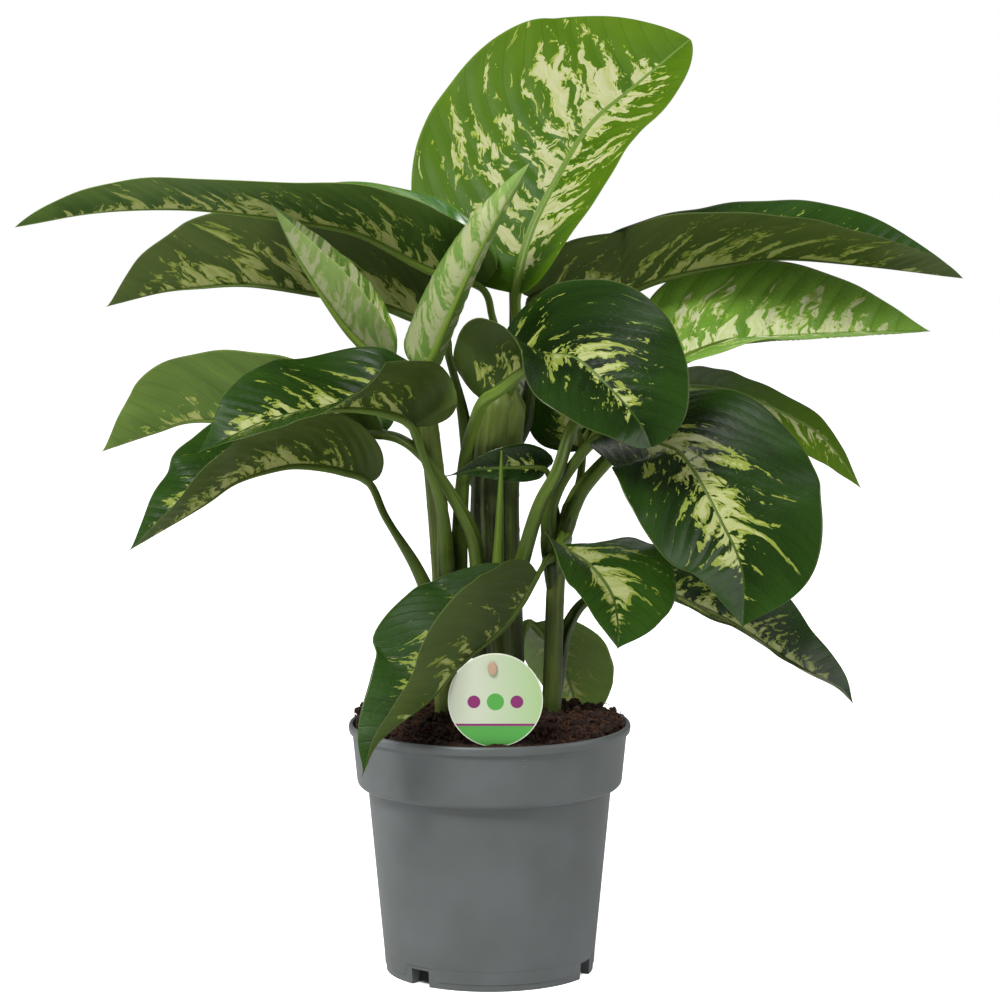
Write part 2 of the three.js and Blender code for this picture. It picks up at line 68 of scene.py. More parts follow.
def squareTo(direction, vectors):
    return unit(vectors - direction * dot(vectors, direction))


# Nodes and materials


def toLinear(hexColour):
    value = int(hexColour.lstrip("#"), 16)
    channels = [(value >> shift & 255) / 255 for shift in (16, 8, 0)]
    linear = [c / 12.92 if c <= 0.04045 else ((c + 0.055) / 1.055) ** 2.4 for c in channels]
    return (*linear, 1.0)


# Inputs are named, or listed in the node's own order. Each is a number, a vector, a hex colour or
# what it is linked to: a socket, or a node whose first output is meant.
def setInputs(tree, node, inputs):
    usable = [s for s in node.inputs if s.enabled]
    pairs = enumerate(inputs) if isinstance(inputs, list) else inputs.items()
    for key, value in pairs:
        socket = usable[key] if isinstance(key, int) else next(s for s in usable if s.name == key)
        if isinstance(value, bpy.types.Node):
            value = next(s for s in value.outputs if s.enabled)
        if isinstance(value, bpy.types.NodeSocket):
            tree.links.new(value, socket)
        else:
            socket.default_value = toLinear(value) if isinstance(value, str) else value


# Settings are named, or text alone that is the node's operation.
def addNode(tree, kind, settings=None, inputs=None):
    node = tree.nodes.new("ShaderNode" + kind)
    if isinstance(settings, str):
        settings = {"operation": settings}
    for key, value in (settings or {}).items():
        setattr(node, key, value)
    setInputs(tree, node, inputs or {})
    return node


def startMaterial(name, settings):
    material = bpy.data.materials.new(name)
    material.use_nodes = True
    tree = material.node_tree
    shader = tree.nodes["Principled BSDF"]
    setInputs(tree, shader, settings)
    return material, tree, shader


# One colour over another, as far as a value has gone from low to high.
def layOver(tree, under, over, value, low, high, most=1.0):
    mask = addNode(tree, "MapRange", inputs=[value, low, high, 0.0, most])
    return addNode(tree, "Mix", {"data_type": "RGBA"}, [mask, under, over])


# A noise for each entry of a grain, squeezed by what it gives along each axis.
def noiseLayers(tree, spot, grain):
    layers = {}
    for key, size in grain.items():
        squeezed = addNode(tree, "VectorMath", "MULTIPLY", [spot, size["squeeze"]])
        settings = {"Vector": squeezed, "Scale": 1.0, "Detail": size["detail"]}
        settings["Roughness"] = size.get("rough", 0.5)
        layers[key] = addNode(tree, "TexNoise", inputs=settings)
    return layers


# Meshes


def addPiece(name, points, faces, materials, faceMaterials=None, fields=None, sharp=None):
    mesh = bpy.data.meshes.new(name)
    mesh.from_pydata((np.asarray(points) * mm).tolist(), [], [list(f) for f in faces])
    for material in materials:
        mesh.materials.append(material)
    if faceMaterials is not None:
        mesh.polygons.foreach_set("material_index", np.asarray(faceMaterials, dtype=np.int32))
    mesh.polygons.foreach_set("use_smooth", np.ones(len(mesh.polygons), dtype=bool))
    for field, values in (fields or {}).items():
        values = np.asarray(values, dtype=np.float32)
        kind, slot = ("FLOAT_VECTOR", "vector") if values.shape[-1] == 3 else ("FLOAT", "value")
        mesh.attributes.new(field, kind, "POINT").data.foreach_set(slot, values.ravel())
    if sharp:
        mesh.set_sharp_from_angle(angle=math.radians(sharp))
    mesh.validate()
    piece = bpy.data.objects.new(name, mesh)
    bpy.context.scene.collection.objects.link(piece)
    return piece


def dress(piece, slot, *nodes):
    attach(piece, "root")
    if nodes:
        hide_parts(*nodes)


def gridFaces(rows, columns, start=0, flip=False, wrap=False):
    i = np.arange(rows - 1)[:, None]
    j = np.arange(columns if wrap else columns - 1)[None, :]
    a = start + i * columns + j
    b = start + i * columns + (j + 1) % columns
    quads = np.stack([a, b, b + columns, a + columns], -1).reshape(-1, 4)
    return quads[:, ::-1] if flip else quads


# Faces of rings of points, closed at each end by a fan to one of the two points that follow them.
def closedFaces(rows, sides):
    faces = gridFaces(rows, sides, wrap=True).tolist()
    last = (rows - 1) * sides
    for j in range(sides):
        k = (j + 1) % sides
        faces.append([rows * sides, k, j])
        faces.append([rows * sides + 1, last + j, last + k])
    return faces


def shifted(faces, start):
    return [[i + start for i in f] for f in faces]


def circle(sides):
    return 2 * np.pi * np.arange(sides) / sides


def lengthsAlong(points):
    return np.concatenate([[0], np.cumsum(np.linalg.norm(np.diff(points, axis=0), axis=1))])


# A tube through rings of the given radii. With its points comes where each lies on the stem.
def tubeShell(centres, sideways, upward, radii):
    rows, sides = radii.shape
    cosine, sine = np.cos(circle(sides)), np.sin(circle(sides))
    around = cosine[:, None] * sideways[:, None] + sine[:, None] * upward[:, None]
    points = (centres[:, None] + radii[..., None] * around).reshape(-1, 3)
    points = np.vstack([points, centres[0], centres[-1]])
    lengths = lengthsAlong(centres)
    stem = np.stack(np.broadcast_arrays(cosine, sine, lengths[:, None]), -1).reshape(-1, 3)
    stem = np.vstack([stem, [0, 0, 0], [0, 0, lengths[-1]]])
    return points, closedFaces(rows, sides), stem


# A profile of radii and heights turned about +Z, with what is added to the radius of each point.
def lathe(profile, sides, proud=0):
    ring = profile[1:-1]
    radius = ring[:, :1] + proud
    angle = circle(sides)
    rows = np.broadcast_arrays(radius * np.cos(angle), radius * np.sin(angle), ring[:, 1:])
    rows = np.stack(rows, -1).reshape(-1, 3)
    points = np.vstack([rows, [0, 0, profile[0][1]], [0, 0, profile[-1][1]]])
    return points, closedFaces(len(ring), sides)


# Smooth paths through given points, measured in millimetres along them


def tracePath(knots, steps=24):
    p = np.array(knots, float)
    p = np.vstack([2 * p[0] - p[1], p, 2 * p[-1] - p[-2]])
    t = (np.arange(steps) / steps)[:, None]
    pieces = []
    for before, start, end, after in zip(p, p[1:], p[2:], p[3:]):
        leaving = (end - before) / 2
        arriving = (after - start) / 2
        pieces.append(
            start
            + leaving * t
            + (3 * (end - start) - 2 * leaving - arriving) * t**2
            + (2 * (start - end) + leaving + arriving) * t**3
        )
    points = np.vstack([*pieces, p[-2]])
    distances = lengthsAlong(points)
    return {"points": points, "distances": distances, "total": distances[-1], "steps": steps}


def pointOn(path, distance):
    axes = [np.interp(distance, path["distances"], path["points"][:, i]) for i in range(3)]
    return np.stack(axes, -1)


def directionOn(path, distance, reach=2):
    d = np.clip(distance, reach, path["total"] - reach)
    return unit(pointOn(path, d + reach) - pointOn(path, d - reach))


# Value between those that are set at equal steps from the base to the tip, on a smooth curve
# that leaves each of them at the slope between its neighbours.
def between(values, a):
    values = np.atleast_1d(values).astype(float)
    if len(values) == 1:
        return np.full(np.shape(a), values[0])
    padded = np.concatenate([values[:1], values, values[-1:]])
    slopes = (padded[2:] - padded[:-2]) / 2
    k = np.clip(a, 0, 1) * (len(values) - 1)
    i = np.minimum(k.astype(int), len(values) - 2)
    t = k - i
    level = mix(values[i], values[i + 1], smooth(0, 1, t))
    return level + slopes[i] * t * (1 - t) ** 2 - slopes[i + 1] * (1 - t) * t**2


# Leaves: the path of each stalk and midrib, where the upper side faces at the base, middle and tip,
# and the width, lift and curl of the left and the right half, as seen from the stalk looking to the
# tip. Lift and curl are in degrees, as one number or as several from the base to the tip. Belly,
# taper and lobe shape the outline. Then come the look, how much of it is variegated, how far out
# from the midrib that reaches, how light the ground and the stalk are, the pattern's seed, and how
# the veins lie and how deep the quilting between them is. How light the ground and the stalk are
# is partly the leaf's own colour and partly painted light and shade: a low tone paints shade on
# leaves and stalks deep in the plant, and a high one paints light on leaves that lie in shade.
leaves = {
    "leaf_crown": {
        "petiole": [[15.6, 10, 403], [17, 8, 422], [18, 6, 440]],
        "midrib": [[18, 5, 458], [27, 15, 496], [45, 30, 532], [68, 50, 568], [99, 70, 594],
            [137, 95, 625]],
        "face": [[-0.3, -1, 0.2], [-0.3, -0.9, 0.4], [-0.2, -0.8, 0.6]], "width": [100, 54],
        "lift": [5, [30, 12]], "curl": [10, [20, 10]], "belly": 0.34, "taper": 0.85, "lobe": 4,
        "stalk": [4.5, 3.4],
        "look": "crown", "amount": 0.17, "reach": 0.95, "tone": 0.6, "stalkTone": 0.7, "seed": 3,
        "veinSpacing": 14, "quilt": 2, "veinLean": 0.25, "veinBend": 0.4,
    },
    "leaf_upper_left": {
        "petiole": [[5.2, 5, 403.6], [5.6, 5, 422], [2, 5, 442]],
        "midrib": [[-6, 4, 462], [-41, 2, 475], [-82, -8, 497], [-112, -16, 505], [-158, -26, 512],
            [-203, -34, 516], [-256, -44, 514], [-308, -55, 505]],
        "face": [[0.2, -0.1, 1], [0, 0, 1], [0, 0, 1]], "width": [55, 55],
        "lift": [[80, 44, 32, 29, 42, 60], [85, 46, 18, 10, 20, 30]], "belly": 0.25, "taper": 0.9,
        "lobe": 16, "wave": 1, "stalk": [3.6, 2.6],
        "look": "bright", "amount": 0.18, "tone": 0.1, "stalkTone": 0.75, "seed": 11, "quilt": 2,
    },
    "leaf_back_left": {
        "petiole": [[-13.2, 19.2, 340], [-19, 23, 380], [-27, 28, 412]],
        "midrib": [[-33, 32, 430], [-74, 45, 448], [-112, 60, 453], [-164, 80, 458], [-200, 95, 455],
            [-228, 105, 451], [-267, 120, 440]],
        "face": [[0, 0, 1]], "width": [64, 55], "lift": [62, 40], "belly": 0.4,
        "look": "dark", "amount": 0.14, "reach": 0.9, "tone": 0.5, "stalkTone": 0.4, "seed": 17,
        "quilt": 2,
    },
    "leaf_rolled_right": {
        "petiole": [[-41, -17, 378.8], [-42, -19, 392]],
        "midrib": [[-42, -20, 406], [-21, -36, 458], [1, -46, 503], [26, -48, 546]],
        "face": [[-0.2, 1, 0.3], [-0.3, 1, 0.3], [-0.3, 1, 0.3]], "width": [30, 46], "lift": [10, 10],
        "curl": [130, 140], "belly": 0.06, "taper": 0.9, "lobe": 0, "stalk": [5, 3],
        "look": "young", "amount": 0.2, "reach": 2.2, "tone": 0.1, "stalkTone": 1.5, "seed": 23,
    },
    "leaf_rolled_left": {
        "petiole": [[-50, -13, 370], [-58, -10, 392]],
        "midrib": [[-67, -12, 409], [-95, -20, 438], [-124, -34, 482], [-142, -48, 520]],
        "face": [[0.8, 0.1, 0.4]], "width": [27, 32], "lift": [50, 60], "curl": [20, 20], "belly": 0.3,
        "lobe": 0, "stalk": [4, 3],
        "look": "young", "amount": 0.32, "reach": 2.2, "tone": 0.6, "stalkTone": 1.3, "seed": 29,
    },
    "leaf_front_left": {
        "petiole": [[-29, -27, 285], [-32, -36, 320], [-42, -41, 350]],
        "midrib": [[-51, -41, 373], [-66, -50, 384], [-91, -60, 388], [-116, -80, 388],
            [-141, -100, 384], [-165, -120, 375], [-185, -130, 366]],
        "face": [[-0.2, -0.2, 1], [-0.1, 0, 1], [-0.1, 0, 1]], "width": [54, 51],
        "lift": [[88, 52, 24, 6, 2, 2, 4], [88, 40, 44, 42, 40]], "belly": 0.28, "lobe": 38,
        "look": "dark", "amount": [0.1, 0.2], "reach": 0.7, "tone": 0.45, "seed": 31, "quilt": 2,
    },
    "leaf_middle_left": {
        "petiole": [[-6.8, -22, 270], [-12.8, -28, 303], [-34, -28, 340], [-46, -27, 354],
            [-57, -14, 361]],
        "midrib": [[-71, -2, 364], [-110, 22, 366], [-150, 45, 366], [-202, 75, 365], [-231, 92, 355],
            [-271, 115, 339]],
        "face": [[0, 0, 1]], "width": [60, 55], "lift": [60, 30], "lobe": 8, "stalk": [5, 3.6],
        "look": "bright", "amount": 0.04, "reach": 0.6, "tone": 0.5, "seed": 37, "veinSpacing": 16,
        "quilt": 2.6,
    },
    "leaf_lower_left": {
        "petiole": [[-37, -25.4, 252], [-50, -24, 280], [-69, -14, 310]],
        "midrib": [[-80, -8, 332], [-98, -14, 342], [-125, -30, 347], [-144, -40, 345],
            [-167, -55, 338], [-188, -70, 324], [-233, -90, 298]],
        "face": [[0, 0, 1], [0, 0, 1], [-0.3, 0, 1]], "width": [48, 52],
        "lift": [[50, 50, 30], [30, 35, 45]], "lobe": 12, "wave": 2.5, "phase": 0.3,
        "look": "dark", "amount": 0.2, "reach": 0.7, "tone": 0.5, "stalkTone": 0.4, "seed": 41,
        "veinSpacing": 9, "quilt": 3,
    },
    "leaf_low_front": {
        "petiole": [[41, -14.8, 283], [37, -27, 281]],
        "midrib": [[32, -35, 274], [10, -60, 244], [-19, -85, 222], [-38, -100, 202],
            [-70, -115, 178], [-82, -122, 155]],
        "face": [[-0.5, -0.4, 0.8], [-0.6, -0.5, 0.6], [-0.6, -0.6, 0.4]], "width": [49, 63],
        "lift": [[80, 75, 60], 38], "belly": 0.33, "taper": 1.5, "wave": 0.5, "stalk": [4.2, 1.8],
        "look": "dark", "amount": [0.02, 0.18], "reach": 0.7, "tone": 0.6, "stalkTone": 0.2, "seed": 43,
    },
    "leaf_small_right": {
        "petiole": [[50, -15.5, 296], [50, -26, 297]],
        "midrib": [[47, -39, 294], [65, -60, 285], [79, -80, 269], [83, -95, 253], [83, -105, 236]],
        "face": [[0.1, -0.2, 1], [0.3, -0.8, 0.5], [0.3, -0.8, 0.4]], "width": [48, 34],
        "lift": [[0, 10, 10], [40, 20, 10]], "lobe": 14,
        "look": "dark", "amount": 0.14, "reach": 0.75, "tone": 0.8, "stalkTone": 0.4, "seed": 47,
    },
    "leaf_front_centre": {
        "petiole": [[-20.1, -10, 270], [-19, -8, 310], [-16, -9, 350], [-10, -24, 374]],
        "midrib": [[-4, -42, 390], [10, -53, 404], [28, -65, 418], [44, -75, 424], [58, -85, 421],
            [78, -103, 404], [95, -117, 385], [103, -123, 369]],
        "face": [[-0.3, -0.3, 1], [0, -0.5, 0.8], [0.5, -0.6, 0.5]], "width": [64, 56],
        "lift": [20, [100, 75, 15, 0, 0]], "belly": 0.42, "taper": 0.75, "lobe": 18, "stalk": [5, 4.2],
        "look": "dark", "amount": 0.17, "reach": 0.75, "tone": 0.2, "stalkTone": 0.6, "seed": 53,
        "quilt": 1.5,
    },
    "leaf_big_right": {
        "petiole": [[39.9, -9.5, 298], [41, -15, 318], [52, -26, 342]],
        "midrib": [[75, -34, 366], [115, -60, 363], [130, -75, 352], [149, -100, 319],
            [162, -115, 289], [162, -130, 254]],
        "face": [[0, -0.3, 1], [0.3, -0.8, 0.6], [0.3, -1, 0.2]], "width": [75, 62], "lift": [10, 10],
        "belly": 0.44, "lobe": 14, "stalk": [5, 4],
        "look": "dark", "amount": 0.14, "reach": 0.75, "tone": 0.3, "seed": 59, "quilt": 1.5,
    },
    "leaf_low_right": {
        "petiole": [[46.3, 0.4, 207], [51, 9, 228], [64, 20, 247], [88, 31, 256]],
        "midrib": [[113, 40, 254], [144, 55, 239], [173, 70, 222], [216, 92, 190], [242, 100, 175],
            [255, 105, 162]],
        "face": [[0, -0.6, 0.8], [0.2, -0.7, 0.7], [0.3, -0.6, 0.5]], "width": [52, 44],
        "lift": [5, [30, 45, 60]], "lobe": 8, "wave": 2, "phase": 0.5,
        "look": "dark", "amount": 0.2, "reach": 0.7, "tone": 0.4, "stalkTone": 0.2, "seed": 61,
    },
    # Its ground is set light as painted light and sheen, for the light that the leaf above keeps off
    # it.
    "leaf_middle_right": {
        "petiole": [[17.5, -24, 266], [32, -31, 317], [45, -33, 343], [56, -22, 373], [76, 0, 394]],
        "midrib": [[114, 36, 405], [157, 60, 420], [185, 75, 422], [249, 105, 423], [308, 130, 422]],
        "face": [[0, -0.7, 0.7]], "width": [66, 54], "lift": [10, 45], "lobe": 12, "stalk": [5, 4],
        "look": "bright", "amount": 0.15, "reach": 0.85, "tone": 1.0, "seed": 67, "veinSpacing": 20,
        "quilt": 4.6,
    },
    # Its dark stalk is painted shade, for a stalk that rises in shadow behind the middle cane.
    "leaf_upper_right": {
        "petiole": [[23.4, 24.5, 366], [29, 27, 405], [29, 24, 435]],
        "midrib": [[28, 22, 453], [54, 30, 458], [88, 45, 456], [116, 55, 464], [157, 70, 472],
            [199, 85, 476], [256, 105, 470], [330, 130, 459]],
        "face": [[0, 0, 1]], "width": [56, 54], "lift": [[50, 42, 42, 60, 60], [78, 66, 36, 30, 36]],
        "belly": 0.45, "taper": 0.95, "lobe": 22, "wave": 0.5,
        "look": "dark", "amount": 0.17, "tone": 0.6, "stalkTone": 0.2, "seed": 71, "quilt": 2,
    },
    "leaf_back_right": {
        "petiole": [[55, -7, 314], [63, 0, 328], [82, 10, 348], [100, 20, 364]],
        "midrib": [[118, 30, 390], [163, 55, 388], [208, 80, 367], [233, 90, 349], [258, 100, 315]],
        "face": [[0, -0.1, 1], [0.1, -0.2, 1], [0.4, -0.3, 1]], "width": [36, 34], "lift": [14, -32],
        "stalk": [5, 4.2],
        "look": "crown", "amount": [-0.3, 0.16], "tone": 1.0, "stalkTone": 0.6, "seed": 73,
    },
    "leaf_inner_back": {
        "petiole": [[53.5, 0.7, 303], [59, 12, 322]],
        "midrib": [[63, 40, 348], [58, 52, 372], [54, 58, 397], [48, 62, 425]],
        "face": [[-0.2, -1, 0.2], [-0.2, -1, 0.2], [-0.2, -1, 0.4]], "width": [34, 34],
        "lift": [10, 10], "stalk": [3.5, 2.5],
        "look": "dark", "amount": 0.1, "reach": 0.7, "tone": 0.6, "stalkTone": 0.4, "seed": 79,
    },
    # Its dark ground is painted shade, for a small leaf deep inside the plant.
    "leaf_inner_small": {
        "petiole": [[45.5, -1.5, 300], [42, -4, 322]],
        "midrib": [[37, -10, 341], [14, -14, 343], [-8, -16, 342], [-29, -20.5, 338]],
        "face": [[0, -1, 0.3], [0, -1, 0.2], [0, -1, 0.3]], "width": [11, 17], "lift": [20, 30],
        "belly": 0.22, "taper": 2, "stalk": [3, 2],
        "look": "dark", "amount": 0.0, "reach": 0.6, "tone": 0.2, "stalkTone": 0.3, "seed": 83,
    },
    "leaf_back_high": {
        "petiole": [[8, 31.5, 352], [14, 36, 390], [16, 44, 435]],
        "midrib": [[16, 52, 465], [18, 84, 498], [20, 122, 524], [22, 160, 534], [23, 194, 530]],
        "face": [[0, -0.6, 0.8], [0, -0.4, 0.9], [0, 0, 1]], "width": [38, 36], "lift": [22, 22],
        "lobe": 4,
        "look": "bright", "amount": 0.12, "tone": 0.3, "seed": 89,
    },
    "leaf_back_centre": {
        "petiole": [[-1, 32.2, 318], [3, 40, 345], [13, 56, 366]],
        "midrib": [[18, 72, 374], [27, 108, 386], [34, 146, 387], [39, 184, 376], [42, 214, 356]],
        "face": [[0, -0.3, 1], [0, 0, 1], [0, 0.3, 1]], "width": [42, 44], "lift": [24, 24], "lobe": 10,
        "look": "bright", "amount": 0.12, "tone": 0.25, "seed": 97,
    },
    # Its ground is set at the lightest as painted light, for a leaf that lies in shade at the back.
    "leaf_low_back": {
        "petiole": [[17.7, 31.9, 190], [20, 36, 214], [25, 40, 229]],
        "midrib": [[29, 46, 228], [40, 66, 215], [51, 90, 191], [60, 108, 163], [66, 118, 138]],
        "face": [[0.4, 0.8, 0.6], [0.5, 0.8, 0.5], [0.5, 0.8, 0.4]], "width": [42, 40],
        "lift": [10, 10], "belly": 0.3, "lobe": 20,
        "look": "bright", "amount": 0.16, "tone": 1.3, "stalkTone": 0.6, "seed": 101,
    },
}
usualLeaf = {
    "curl": [0, 0], "belly": 0.36, "taper": 1.2, "lobe": 6, "wave": 0, "phase": 0, "stalk": [5, 2.8],
    "reach": 0.8, "stalkTone": 0.5, "veinSpacing": 11, "veinLean": 0.55, "veinBend": 0.5, "quilt": 1,
}
# The blade's sizes, how its rows crowd to the ends and its columns to the edges, the swelling
# between the veins and how much more of it there is near the rib, where the outline is so narrow
# that the blade thins, the groove over the midrib, and the waves of its face and edge.
blade = {
    "rowStep": 2.1, "columnStep": 2.6, "crowdRows": 0.6, "crowdColumns": 0.35,
    "sweep": 0.35, "tipHalfWidth": 0.4, "thickness": 0.7, "marginThickness": 0.35,
    "quilt": 0.75, "quiltRound": 0.75, "quiltSunk": 0.6, "quiltFrom": [2, 12], "quiltShare": 0.7,
    "quiltNearRib": 18, "quiltMore": 0.8, "thinAt": [-0.05, 0.25],
    "ribGroove": 0.7, "ribWidth": [4.5, 1.2],
    "waves": 2.5, "sway": 0.5, "frill": 0.5, "frills": 6.5,
}
# How the pattern thins outward and near both ends of the blade, how the ground lightens outward and
# to the tip, and how far apart two seeds lie in the noise. The lightening outward is partly the
# leaf's own colour and partly painted sheen near the margins.
bladePattern = {
    "outward": 0.6, "atEnds": 0.5, "ends": [0.12, 0.75], "toneAlong": 0.35, "toneAndSheenOut": 0.4,
    "seedStep": 7.3,
}
# The stalk's root in the cane, its flare, its thinning, the channel with its wings (in degrees from
# the top), the rib that it becomes under the blade, and how much lighter it gets along it.
stalkShape = {
    "step": 3, "sides": 24, "rooting": 42, "rootFrom": 8, "rootRadius": 0.5,
    "flare": 0.12, "flareLength": 24, "thinning": 1.6,
    "channel": 0.24, "channelWidth": 24, "channelEnd": 0.05, "wing": 0.3, "wingFade": [0.7, 0.3],
    "wingPlace": 38, "wingWidth": 13, "ribEnd": 0.96, "ribRadius": [0.1, 0.45, 0.95],
    "ribSunk": 0.7, "sunkFrom": 0.12, "toneSpan": 0.3,
}


def outline(leaf, a):
    belly = leaf["belly"]
    base = np.sqrt(np.clip(1 - (1 - a / belly) ** 2, 0, 1))
    tip = np.clip(1 - ((a - belly) / (1 - belly)) ** 2, 0, 1) ** leaf["taper"]
    return np.where(a < belly, base, tip)


def facing(leaf, a):
    return np.stack([between([f[i] for f in leaf["face"]], a) for i in range(3)], -1)


def bladeFrame(leaf, distance):
    a = (distance - leaf["stalkLength"]) / leaf["bladeLength"]
    onBlade = np.maximum(distance, leaf["stalkLength"])
    along = directionOn(leaf["path"], onBlade)
    point = pointOn(leaf["path"], onBlade) + along * (distance - onBlade)[..., None]
    up = squareTo(along, facing(leaf, a))
    return point, up, np.cross(along, up)


# Points of the blade's middle surface. The left half has s below 0, seen from the stalk looking
# to the tip, and distances along and across the blade come with them, for veins and pattern. The
# bare numbers in the waves only keep leaves and halves from waving alike.
def bladeSurface(leaf, a, s):
    seed = leaf["seed"]
    onLeft = s < 0
    out = np.abs(s)
    side = np.sign(s)
    fullness = outline(leaf, a)
    width = np.where(onLeft, *leaf["width"]) * fullness
    width = np.maximum(width, blade["tipHalfWidth"])
    back = leaf["lobe"] * out * fullness * np.maximum(0, 1 - a / leaf["belly"]) ** 2
    forward = blade["sweep"] * width * out**1.5 * a
    distance = leaf["stalkLength"] + a * leaf["bladeLength"] + forward - back
    distance = np.minimum(distance, leaf["path"]["total"])
    point, up, across = bladeFrame(leaf, distance)
    lift, curl = (
        np.radians(np.where(onLeft, *[between(half, a) for half in leaf[key]]))
        for key in ("lift", "curl")
    )
    curl = np.maximum(curl, 1e-6)
    turn = lift + curl * out
    sideways = width * (np.sin(turn) - np.sin(lift)) / curl
    cycle = 2 * np.pi * (blade["waves"] * a + leaf["phase"] + np.where(onLeft, 0.5, 0))
    ripple = leaf["wave"] * out**2 * fullness * np.sin(cycle)
    frillCycle = 2 * np.pi * (blade["frills"] * a + 0.37 * seed + 0.21 * side)
    frillCycle = frillCycle + 1.3 * np.sin(9 * a + seed)
    ripple = ripple + blade["frill"] * out**4 * fullness * np.sin(frillCycle)
    sway = np.sin(5.1 * a + 2.3 * s + seed) * np.cos(3.7 * a - 1.9 * s + 2 * seed)
    ripple = ripple + blade["sway"] * out * fullness * sway
    rise = width * (np.cos(lift) - np.cos(turn)) / curl + ripple
    point = point + across * (side * sideways)[..., None] + up * rise[..., None]
    return point, distance - leaf["stalkLength"], side * out * width


def gridNormals(points):
    alongRows = np.gradient(points, axis=0)
    alongColumns = np.gradient(points, axis=1)
    return unit(np.cross(alongColumns, alongRows) + 1e-12)


# The blade as two skins round its middle surface. Vein starts tell how far along the midrib the
# lateral vein through each place starts. The rows of a field are doubled for the lower skin.
def bladeShell(leaf):
    rows = int(leaf["bladeLength"] / blade["rowStep"])
    columns = int(sum(leaf["width"]) / blade["columnStep"] / 2) * 2 + 1
    t = np.linspace(0, 1, rows)
    t = mix(t, (1 - np.cos(np.pi * t)) / 2, blade["crowdRows"])
    u = np.linspace(-1, 1, columns)
    s = mix(u, np.sin(u * np.pi / 2), blade["crowdColumns"])
    a, s = np.meshgrid(t, s, indexing="ij")
    middle, distance, across = bladeSurface(leaf, a, s)
    normal = gridNormals(middle)
    out, reach = np.abs(s), np.abs(across)
    veinStarts = distance - leaf["veinLean"] * reach
    veinStarts = veinStarts - leaf["veinBend"] * across**2 / np.where(across < 0, *leaf["width"])
    veinCount = veinStarts / leaf["veinSpacing"] + np.where(s < 0, 0.5, 0)
    swell = np.abs(np.sin(np.pi * veinCount)) ** blade["quiltRound"] - blade["quiltSunk"]
    fade = smooth(*blade["quiltFrom"], reach) * (1 - out**5) * outline(leaf, a)
    nearRib = blade["quiltMore"] * np.exp(-reach / blade["quiltNearRib"])
    fade = fade * (blade["quiltShare"] + nearRib)
    height = blade["quilt"] * leaf["quilt"] * swell * fade
    ribWidth = mix(*blade["ribWidth"], a)
    height = height - blade["ribGroove"] * (1 - a) * np.exp(-((reach / ribWidth) ** 2))
    thickness = mix(blade["thickness"], blade["marginThickness"], out**3)
    thickness = (thickness * smooth(*blade["thinAt"], outline(leaf, a)))[..., None] / 2
    upper = middle + normal * (height[..., None] + thickness)
    lower = middle + normal * (height[..., None] - thickness)
    points = np.vstack([upper.reshape(-1, 3), lower.reshape(-1, 3)])
    count = rows * columns
    upperFaces = gridFaces(rows, columns)
    lowerFaces = gridFaces(rows, columns, start=count, flip=True)
    edge = np.concatenate(
        [
            np.arange(rows) * columns,
            (rows - 1) * columns + np.arange(1, columns),
            np.arange(rows - 2, -1, -1) * columns + columns - 1,
            np.arange(columns - 2, 0, -1),
        ]
    )
    following = np.roll(edge, -1)
    rim = np.stack([edge, following, following + count, edge + count], -1)
    faces = np.vstack([upperFaces, lowerFaces, rim]).tolist()
    kinds = [0] * len(upperFaces) + [1] * len(lowerFaces) + [0] * len(rim)
    base, tip = bladePattern["ends"]
    along = smooth(0, base, a) * smooth(1, tip, a)
    amount = np.where(s < 0, *np.broadcast_to(leaf["amount"], 2))
    thinning = bladePattern["outward"] * out / (leaf["reach"] * mix(0.5, 1, along))
    pattern = amount - thinning - bladePattern["atEnds"] * (1 - along)
    tone = bladePattern["toneAlong"] * (a - 0.5) + leaf["tone"]
    # Lighter outward: partly the leaf's own colour, partly painted sheen near the margins.
    tone = tone + bladePattern["toneAndSheenOut"] * (out - 0.5)
    layer = np.full_like(a, bladePattern["seedStep"] * leaf["seed"])
    fields = {
        "veins": np.stack([veinStarts, across, layer], -1),
        "blade": np.stack([a, out, veinCount], -1),
        "pattern": pattern[..., None],
        "tone": tone[..., None],
    }
    fields = {key: np.tile(values.reshape(count, -1), (2, 1)) for key, values in fields.items()}
    return points, faces, kinds, fields


# The axis of the nearest cane, and how far along it the place is.
def caneBeside(place):
    axes = [tracePath(cane["path"]) for cane in canes.values()]
    gaps = [np.linalg.norm(axis["points"] - place, axis=1) for axis in axes]
    nearest = int(np.argmin([gap.min() for gap in gaps]))
    return axes[nearest], axes[nearest]["distances"][int(np.argmin(gaps[nearest]))]


